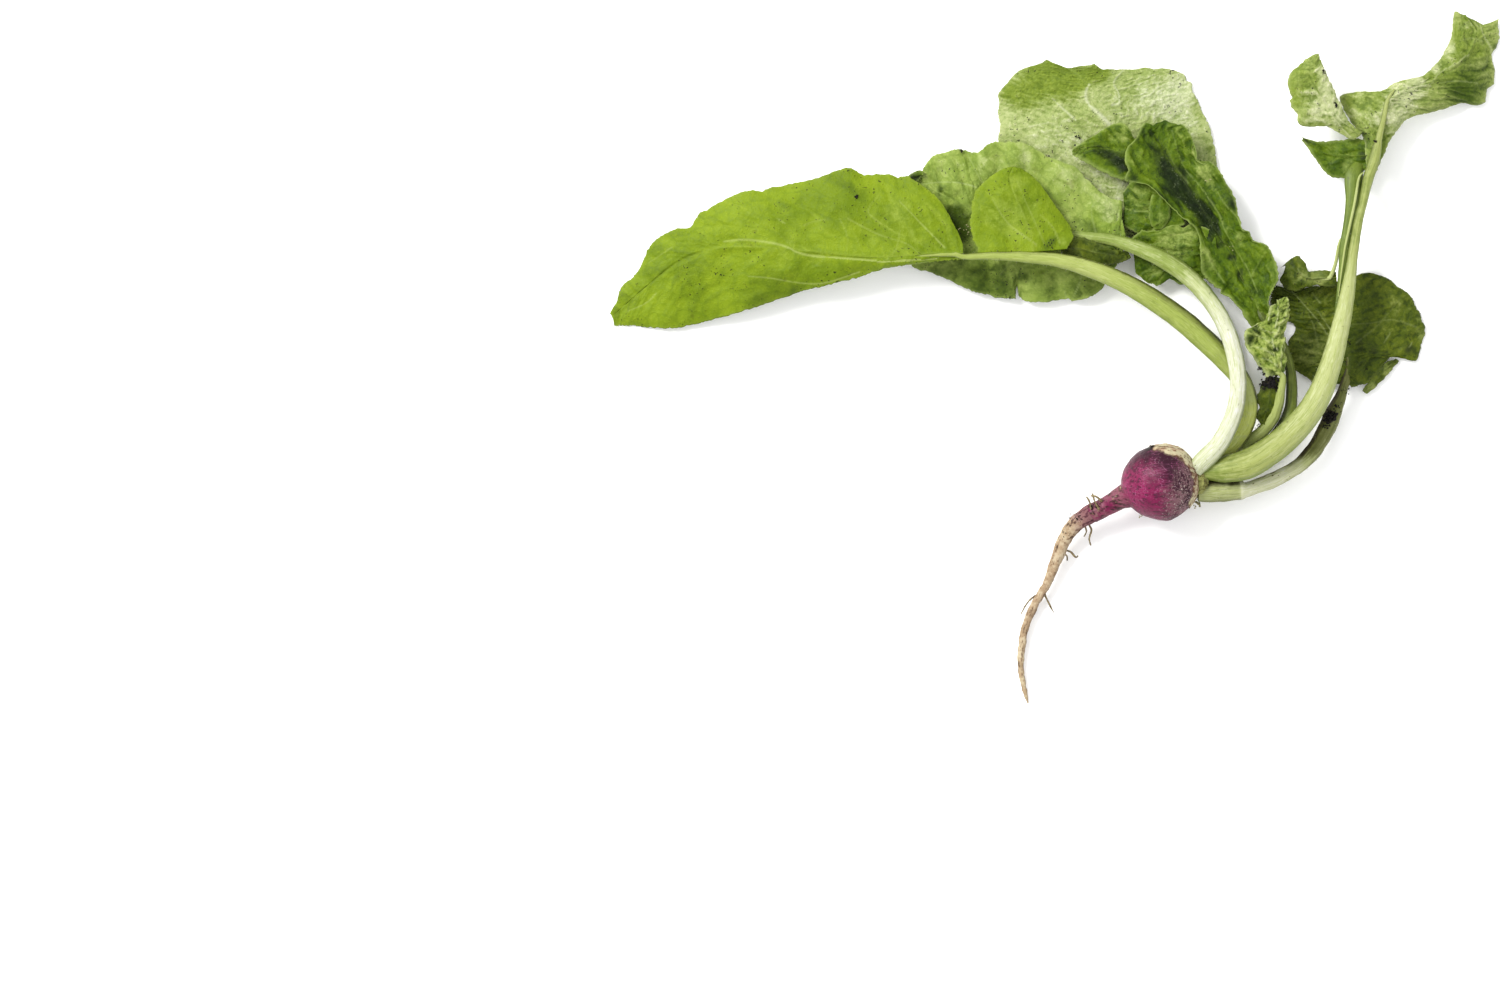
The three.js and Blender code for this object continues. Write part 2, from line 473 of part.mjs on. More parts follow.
// A thin blade on its ladder of rungs, thickened along its rib, cut alike on both faces
function bladeBody({ rungs, columns, steps, rib, teeth, waves, arch }) {
  const rails = [0, 1, 2].map((place) => railOf(rungs.map((rung) => rung[place])));
  const places = [...columns.slice(1).reverse().map((s) => [0, s]), ...columns.map((s) => [2, s])];
  const middles = [];
  const ribGap = [];
  for (let i = 0; i <= steps; i += 1) {
    const t = i / steps;
    const fade = Math.sin(Math.PI * THREE.MathUtils.clamp(t, END_STRETCH, 1 - END_STRETCH));
    const spine = rails[1].getPoint(t);
    for (const [side, s] of places) {
      const far = side === 2 ? 1 : 0;
      const reach = rails[side].getPoint(t).sub(spine);
      const width = reach.length();
      const tooth = s === 1 ? teeth[1] * fade * toothAt(t, teeth[0] + far) : 0;
      const point = spine.clone().addScaledVector(reach, s + tooth / width);
      point.z += arch * 4 * s * (1 - s) * fade;
      point.z += waves[1] * s * s * fade * Math.sin(2 * Math.PI * waves[0] * t + WAVE_LEAD * far);
      middles.push(point);
      ribGap.push(s * width);
    }
  }
  const wide = places.length;
  const at = (i, j) => middles[Math.min(Math.max(i, 0), steps) * wide + Math.min(Math.max(j, 0), wide - 1)];
  const upper = [];
  const lower = [];
  for (let i = 0; i <= steps; i += 1) {
    const ribRadius = THREE.MathUtils.lerp(rib, BLADE_THICKNESS, i / steps) / 2;
    for (let j = 0; j < wide; j += 1) {
      const along = at(i + 1, j).clone().sub(at(i - 1, j));
      const across = at(i, j + 1).clone().sub(at(i, j - 1));
      const normal = new THREE.Vector3().crossVectors(across, along).normalize();
      const thick = BLADE_THICKNESS / 2;
      const swell = (ribRadius - thick) * Math.exp(-((ribGap[i * wide + j] / ribRadius) ** 2));
      upper.push(at(i, j).clone().addScaledVector(normal, thick + swell));
      lower.push(at(i, j).clone().addScaledVector(normal, -thick - swell));
    }
  }
  const triangles = [];
  const under = upper.length;
  const quad = (a, b, c, d) => triangles.push([a, b, c], [a, c, d]);
  for (let i = 0; i < steps; i += 1) {
    for (let j = 0; j + 1 < wide; j += 1) {
      const [a, b] = [i * wide + j, i * wide + j + 1];
      const [c, d] = [b + wide, a + wide];
      quad(a, b, c, d);
      triangles.push([a + under, c + under, b + under], [a + under, d + under, c + under]);
    }
    const [first, last] = [i * wide, i * wide + wide - 1];
    quad(first, first + wide, first + wide + under, first + under);
    quad(last, last + under, last + wide + under, last + wide);
  }
  for (let j = 0; j + 1 < wide; j += 1) {
    const end = steps * wide + j;
    quad(j + 1, j, j + under, j + 1 + under);
    quad(end, end + 1, end + 1 + under, end + under);
  }
  return meshOf([...upper, ...lower], triangles);
}

const group = new THREE.Group();

function addPiece(name, geometry, finish) {
  const mesh = new THREE.Mesh(geometry, new THREE.MeshStandardMaterial({ ...FINISH[finish], metalness: 0 }));
  mesh.name = name;
  group.add(mesh);
}

function makeBulb() {
  const below = new THREE.BoxGeometry(1, 1, 1)
    .scale(4 * BULB_RADIUS, 4 * BULB_RADIUS, BULB_RADIUS)
    .translate(0, 0, -BULB_RADIUS / 2);
  return solidOf(bulbBody()).subtract(solidOf(below));
}

function makeTaproot() {
  let root = solidOf(stem(TAPROOT, ROOT_SIDES, 1, ROOT_STEP));
  for (const path of ROOTLETS) {
    const tapered = path.map((point, i) => [...point, ROOTLET_WIDTH * (1 - (ROOTLET_TAPER * i) / path.length)]);
    root = root.add(solidOf(stem(tapered, ROOTLET_SIDES, 1, ROOTLET_STEP)));
  }
  return mainPiece(root.subtract(solidOf(bulbBody(CLEARANCE))));
}

function makeStalks() {
  const made = {};
  const taken = [solidOf(bulbBody(CLEARANCE))];
  for (const [name, { path }] of Object.entries(STALKS)) {
    let stalk = solidOf(stem(path, STALK_SIDES, STALK_FLATNESS, STALK_STEP));
    if (name === "tall") {
      stalk = stalk.add(solidOf(stem(SIDE_STALK, STALK_SIDES, SIDE_STALK_FLATNESS, STALK_STEP)));
    }
    for (const other of taken) {
      stalk = stalk.subtract(other);
    }
    made[name] = mainPiece(stalk);
    taken.push(solidOf(stem(path, STALK_SIDES, STALK_FLATNESS, STALK_STEP, CLEARANCE)));
  }
  return { made, taken };
}

function makeCrown(taken) {
  const ball = new THREE.SphereGeometry(1, CROWN_SIDES, CROWN_RINGS)
    .scale(...CROWN_HALVES)
    .translate(...CROWN_MIDDLE);
  return mainPiece(taken.reduce((crown, other) => crown.subtract(other), solidOf(ball)));
}

addPiece("bulb", geometryOf(makeBulb()), "bulb");
addPiece("taproot", geometryOf(makeTaproot()), "root");
const { made: stalks, taken } = makeStalks();
addPiece("crown", geometryOf(makeCrown(taken)), "crown");
for (const [name, solid] of Object.entries(stalks)) {
  addPiece(`stalk_${name}`, geometryOf(solid), STALKS[name].finish);
}
for (const [name, blade] of Object.entries(BLADES)) {
  addPiece(name, bladeBody(blade), blade.finish);
}

export default group;
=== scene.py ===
# %% [markdown]
# # A young radish, pulled up whole and laid down
#
# The real thing is a thinning from a radish bed: a round magenta bulb the size of a marble, its tan taproot,
# and seven soft leaves on fleshy stalks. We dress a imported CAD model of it. The CAD solids fix where every
# piece lies and how large it is, and this lesson gives each of them a finer mesh and a finish.

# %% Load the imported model
import json
import math

import bpy
import numpy as np
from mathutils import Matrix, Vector, noise
from mathutils.kdtree import KDTree

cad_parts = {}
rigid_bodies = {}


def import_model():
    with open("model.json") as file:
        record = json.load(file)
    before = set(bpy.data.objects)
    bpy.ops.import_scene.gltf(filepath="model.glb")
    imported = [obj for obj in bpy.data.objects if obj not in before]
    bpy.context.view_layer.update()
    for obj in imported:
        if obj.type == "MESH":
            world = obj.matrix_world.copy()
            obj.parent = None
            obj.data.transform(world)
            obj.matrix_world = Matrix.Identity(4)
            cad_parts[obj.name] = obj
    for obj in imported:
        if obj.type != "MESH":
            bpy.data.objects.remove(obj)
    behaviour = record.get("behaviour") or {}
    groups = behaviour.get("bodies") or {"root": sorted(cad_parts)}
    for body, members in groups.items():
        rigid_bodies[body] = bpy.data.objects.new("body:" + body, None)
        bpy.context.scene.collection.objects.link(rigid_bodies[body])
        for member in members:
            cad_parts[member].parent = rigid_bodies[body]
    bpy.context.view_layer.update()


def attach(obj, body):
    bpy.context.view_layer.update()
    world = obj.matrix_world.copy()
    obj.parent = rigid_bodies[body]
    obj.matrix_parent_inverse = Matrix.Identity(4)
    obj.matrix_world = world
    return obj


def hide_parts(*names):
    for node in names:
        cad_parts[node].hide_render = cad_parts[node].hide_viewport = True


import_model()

MM = 0.001

# %% [markdown]
# ## Camera and light
#
# The plant lies on a pale surface and is seen from straight above, through a long lens that hardly shows any
# perspective. One could also use an orthographic camera, but a long lens is what a photographer would use.
# A large soft lamp to the upper left models the leaves, a weaker one opposite opens the shadows, and a pale
# world does the rest, as on a light table.

# %% Camera
VIEW_WIDTH = 375 * MM
VIEW_MIDDLE = (-102.5 * MM, -4.25 * MM)
LENS = 250
SENSOR = 36

camera = bpy.data.objects.new("camera", bpy.data.cameras.new("camera"))
camera.data.lens = LENS
camera.data.sensor_width = SENSOR
camera.data.clip_end = 10
camera.location = (*VIEW_MIDDLE, VIEW_WIDTH * LENS / SENSOR)
bpy.context.collection.objects.link(camera)
bpy.context.scene.camera = camera
bpy.context.scene.view_settings.view_transform = "Standard"
print("camera", round(camera.location.z, 3), "m above the surface")


# %% Lamps, world and surface
def add_lamp(name, place, power, size, colour):
    """A square soft lamp that faces the plant."""
    lamp = bpy.data.lights.new(name, "AREA")
    lamp.energy = power
    lamp.size = size
    lamp.color = colour
    thing = bpy.data.objects.new(name, lamp)
    thing.location = place
    thing.rotation_euler = (-Vector(place)).to_track_quat("-Z", "Y").to_euler()
    bpy.context.collection.objects.link(thing)


add_lamp("key_lamp", (-0.6, 0.5, 0.75), 16, 0.4, (1, 0.99, 0.97))
add_lamp("fill_lamp", (0.7, -0.3, 0.6), 1.6, 0.6, (0.97, 0.99, 1))

world = bpy.data.worlds.new("pale room")
world.use_nodes = True
world.node_tree.nodes["Background"].inputs["Color"].default_value = (1, 1, 1, 1)
world.node_tree.nodes["Background"].inputs["Strength"].default_value = 1.1
bpy.context.scene.world = world

FLOOR_HALF = 2.5
floor_mesh = bpy.data.meshes.new("surface")
floor_mesh.from_pydata(
    [(-FLOOR_HALF, -FLOOR_HALF, 0), (FLOOR_HALF, -FLOOR_HALF, 0),
     (FLOOR_HALF, FLOOR_HALF, 0), (-FLOOR_HALF, FLOOR_HALF, 0)], [], [(0, 1, 2, 3)])
floor = bpy.data.objects.new("surface", floor_mesh)
bpy.context.collection.objects.link(floor)

# %% [markdown]
# ## Formulas as node trees
#
# Plant skin is never one flat colour, so every finish here is worked out by nodes. Wiring them one by one is
# hard to read. Instead a small class wraps a socket and takes Python's operators, so that a formula such as
# `1 - mask` adds its own Math node, and one method makes any other node from its settings and its inputs.


# %% Sockets that can be reckoned with
class Wire:
    """A node's output. Sums, products and powers of it add Math nodes to its tree."""

    def __init__(self, graph, socket):
        self.graph = graph
        self.socket = socket

    def reckon(self, operation, *others, clamp=False):
        values = dict(enumerate([self, *others]))
        return self.graph.add("ShaderNodeMath", {"operation": operation, "use_clamp": clamp}, values)[0]

    def __add__(self, other):
        if self.socket.type == "VECTOR":
            return self.graph.add("ShaderNodeVectorMath", {"operation": "ADD"}, {0: self, 1: other})[0]
        return self.reckon("ADD", other)

    def __sub__(self, other):
        return self.reckon("SUBTRACT", other)

    def __mul__(self, other):
        if self.socket.type in ("VECTOR", "RGBA"):
            return self.graph.add("ShaderNodeVectorMath", {"operation": "SCALE"}, {0: self, 3: other})[0]
        return self.reckon("MULTIPLY", other)

    def __truediv__(self, other):
        return self.reckon("DIVIDE", other)

    def __pow__(self, other):
        return self.reckon("POWER", other)

    def __rsub__(self, other):
        return (self * -1).reckon("ADD", other)

    __radd__ = __add__
    __rmul__ = __mul__


class Graph:
    """A node tree of shader or geometry nodes, filled by code."""

    def __init__(self, tree):
        self.tree = tree

    def add(self, kind, settings=None, inputs=None):
        """A node of any kind: first its settings, then its sockets by name or number. Gives its outputs."""
        node = self.tree.nodes.new(kind)
        for name, value in (settings or {}).items():
            setattr(node, name, value)
        for name, value in (inputs or {}).items():
            if isinstance(value, Wire):
                self.tree.links.new(value.socket, node.inputs[name])
            else:
                node.inputs[name].default_value = value
        return [Wire(self, socket) for socket in node.outputs]

    def mix(self, first, second, share):
        """One colour turning into another as share goes from 0 to 1."""
        settings = {"data_type": "RGBA", "clamp_factor": True}
        return self.add("ShaderNodeMix", settings, {0: share, 6: first, 7: second})[2]

    def tint(self, base, factor, share):
        """A colour multiplied channel by channel, as far as share goes from 0 to 1."""
        settings = {"data_type": "RGBA", "blend_type": "MULTIPLY", "clamp_factor": True}
        return self.add("ShaderNodeMix", settings, {0: share, 6: base, 7: (*factor, 1)})[2]

    def point(self, x, y, z):
        """A place made of three numbers."""
        return self.add("ShaderNodeCombineXYZ", {}, {0: x, 1: y, 2: z})[0]

    def grain(self, place, scale, detail=2.0, rough=0.5):
        """Soft random patches from 0 to 1. scale is how many there are to a metre."""
        inputs = {"Vector": place, "Scale": scale, "Detail": detail, "Roughness": rough}
        return self.add("ShaderNodeTexNoise", {}, inputs)[0]

    def cells(self, place, scale, feature="DISTANCE_TO_EDGE"):
        """A net of random cells: the distance to the nearest edge, or to the nearest middle."""
        return self.add("ShaderNodeTexVoronoi", {"feature": feature}, {"Vector": place, "Scale": scale})[0]

    def ramp(self, value, low, high):
        """0 below low, 1 above high, and smooth between them."""
        settings = {"interpolation_type": "SMOOTHSTEP"}
        return self.add("ShaderNodeMapRange", settings, {0: value, 1: low, 2: high, 3: 0.0, 4: 1.0})[0]

    def read(self, name):
        """A number that each corner of the mesh carries."""
        return self.add("ShaderNodeAttribute", {"attribute_name": name})[2]


BRIGHTNESS = 2.0


def colour(red, green, blue):
    """A colour as it should look on screen, from 0 to 255, turned into the share of light that is sent back.
    The light is twice what would show white paper as white, which keeps the shadows on the surface pale."""
    shares = [channel / 255 for channel in (red, green, blue)]
    linear = [s / 12.92 if s < 0.04045 else ((s + 0.055) / 1.055) ** 2.4 for s in shares]
    return (*[value / BRIGHTNESS for value in linear], 1)


def new_finish(name, **constants):
    """A material with its Principled shader. Gives the material, its graph, the shader and the place."""
    material = bpy.data.materials.new(name)
    material.use_nodes = True
    graph = Graph(material.node_tree)
    shader = material.node_tree.nodes["Principled BSDF"]
    for socket, value in constants.items():
        shader.inputs[socket.replace("_", " ")].default_value = value
    place = graph.add("ShaderNodeTexCoord")[3]
    return material, graph, shader, place


def feed(shader, **wires):
    """Links wires to the shader's sockets."""
    for socket, wire in wires.items():
        wire.graph.tree.links.new(wire.socket, shader.inputs[socket.replace("_", " ")])


def raise_bumps(graph, height, size, strength):
    """A normal for small relief: height from 0 to 1, and how high 1 stands, in metres."""
    return graph.add("ShaderNodeBump", {}, {"Strength": strength, "Distance": size, "Height": height})[0]


# %% The pale surface
material, graph, shader, place = new_finish("pale surface", Roughness=0.9, Specular_IOR_Level=0.1)
feed(shader, Base_Color=graph.mix((0.95, 0.95, 0.945, 1), (0.98, 0.98, 0.98, 1), graph.grain(place, 30)))
floor.data.materials.append(material)

# %% [markdown]
# ## Curves through given points
#
# Stalks, ribs and leaf edges all follow a few points. A Catmull-Rom curve passes through every one of them,
# and its centripetal form never loops between points that lie close together, so it suits a plant's lines
# better than a Bezier curve, whose handles would have to be tuned one by one. It is written for whole arrays,
# because the leaves need many thousands of places on it.


# %% A curve through points
def along(points, t):
    """Places at t, from 0 to 1, on the centripetal Catmull-Rom curve through points."""
    points = np.asarray(points, float)
    padded = np.vstack([2 * points[0] - points[1], points, 2 * points[-1] - points[-2]])
    run = np.clip(t, 0, 1) * (len(points) - 1)
    start = np.minimum(run.astype(int), len(points) - 2)
    w = (run - start)[:, None]
    p0, p1, p2, p3 = (padded[start + k] for k in range(4))
    d0, d1, d2 = (
        np.maximum(np.linalg.norm(b - a, axis=1, keepdims=True) ** 0.5, 1e-4)
        for a, b in ((p0, p1), (p1, p2), (p2, p3)))
    m1 = ((p1 - p0) / d0 - (p2 - p0) / (d0 + d1) + (p2 - p1) / d1) * d1
    m2 = ((p2 - p1) / d1 - (p3 - p1) / (d1 + d2) + (p3 - p2) / d2) * d1
    return p1 + m1 * w + (3 * p2 - 3 * p1 - 2 * m1 - m2) * w**2 + (2 * p1 - 2 * p2 + m1 + m2) * w**3


def length_of(points):
    """The length of a chain of points."""
    return float(np.linalg.norm(np.diff(points, axis=0), axis=1).sum())


def swell(points, size, octaves=3):
    """Smooth random numbers, mostly from -1 to 1, at points in millimetres, with swells of the given size."""
    return np.array([noise.fractal(Vector(p) / size, 1.0, 2.0, octaves) for p in points.tolist()])


# %% [markdown]
# ## The leaf blades
#
# A blade is described as a ladder: each rung gives one edge, the midrib and the other edge, in millimetres,
# at the places where the CAD solids have them. Three curves run through the rungs, and every place on the
# blade is found from how far it lies along them, t, and how far across, q, from -1 at one edge to 1 at the
# other. A hand-modelled leaf would look as good, but the ladder lets veins, puckers and teeth be laid out in
# the leaf's own terms, and it keeps the form of the solids.
#
# After the rungs come the style, the waves of the edges (how many and how high) and the arch from rib to
# edge. Two hems follow, lists of points that each edge is drawn out to, as seen from above. A tug pulls a
# spot aside. A vein is a list of points, its strength and perhaps its width; a few of these lines are painted
# highlights along the crests of folds. A mark is a soft round zone, given by its middle, its radius and how
# much lighter the blade is there, or darker when it is below 0. Many dark marks are painted shade, under
# other leaves, in gaps and in the hollows of folds, and some light ones are painted glints and sheen on
# ridges; the rest are the blade's own lighter and darker zones.


# %% Ladders of the blades
HEM_FADE = 0.08          # how far beyond its last point a hem goes on, as a share of the rail
HEM_CLOSE = 0.03         # a hem that ends nearer to the rail's end than this has nothing to fade into
HEM_STEPS = 1200
HEM_STRIDE = 4           # each hem point lies at least so many steps after the one before it
EYE = np.array([*VIEW_MIDDLE, VIEW_WIDTH * LENS / SENSOR]) / MM


def seen_places(places):
    """Where places in millimetres seem to lie on the surface, seen from the camera."""
    return EYE[:2] + (places[:, :2] - EYE[:2]) / (1 - places[:, 2:3] / EYE[2])


def true_places(seen, heights):
    """Where places seen on the surface really are. Raised things seem to lie farther out."""
    return EYE[:2] + (np.asarray(seen, float) - EYE[:2]) * (1 - np.asarray(heights, float) / EYE[2])


def hem_pull(rungs, side, hem):
    """Where along an edge each point of its hem belongs, and how far the hem lies from the edge there."""
    line = np.linspace(0, 1, HEM_STEPS + 1)
    rail = along([rung[2 * side] for rung in rungs], line)
    at, away, least = [], [], 0
    for point in hem:
        gaps = np.linalg.norm(rail[least:, :2] - point, axis=1)
        near = least + int(np.argmin(gaps))
        at.append(line[near])
        away.append(true_places(point, rail[near, 2]) - rail[near, :2])
        least = min(near + HEM_STRIDE, HEM_STEPS - HEM_STRIDE)
    if at[0] > HEM_CLOSE:
        at, away = [at[0] - HEM_FADE, *at], [0 * away[0], *away]
    if at[-1] < 1 - HEM_CLOSE:
        at, away = [*at, at[-1] + HEM_FADE], [*away, 0 * away[0]]
    return np.array(at), np.array(away)


def blade(rungs, style, waves, arch, hems=((), ()), tugs=(), web=6, lead=0.12, veins=(), marks=()):
    """The facts of one blade: its rungs, its looks, and what its edges and its surface do."""
    pulls = [hem_pull(rungs, side, hem) if hem else None for side, hem in enumerate(hems)]
    return {
        "rungs": rungs, "style": style, "waves": waves, "arch": arch, "pulls": pulls,
        "tugs": tugs, "web": web, "lead": lead, "veins": veins, "marks": marks,
    }


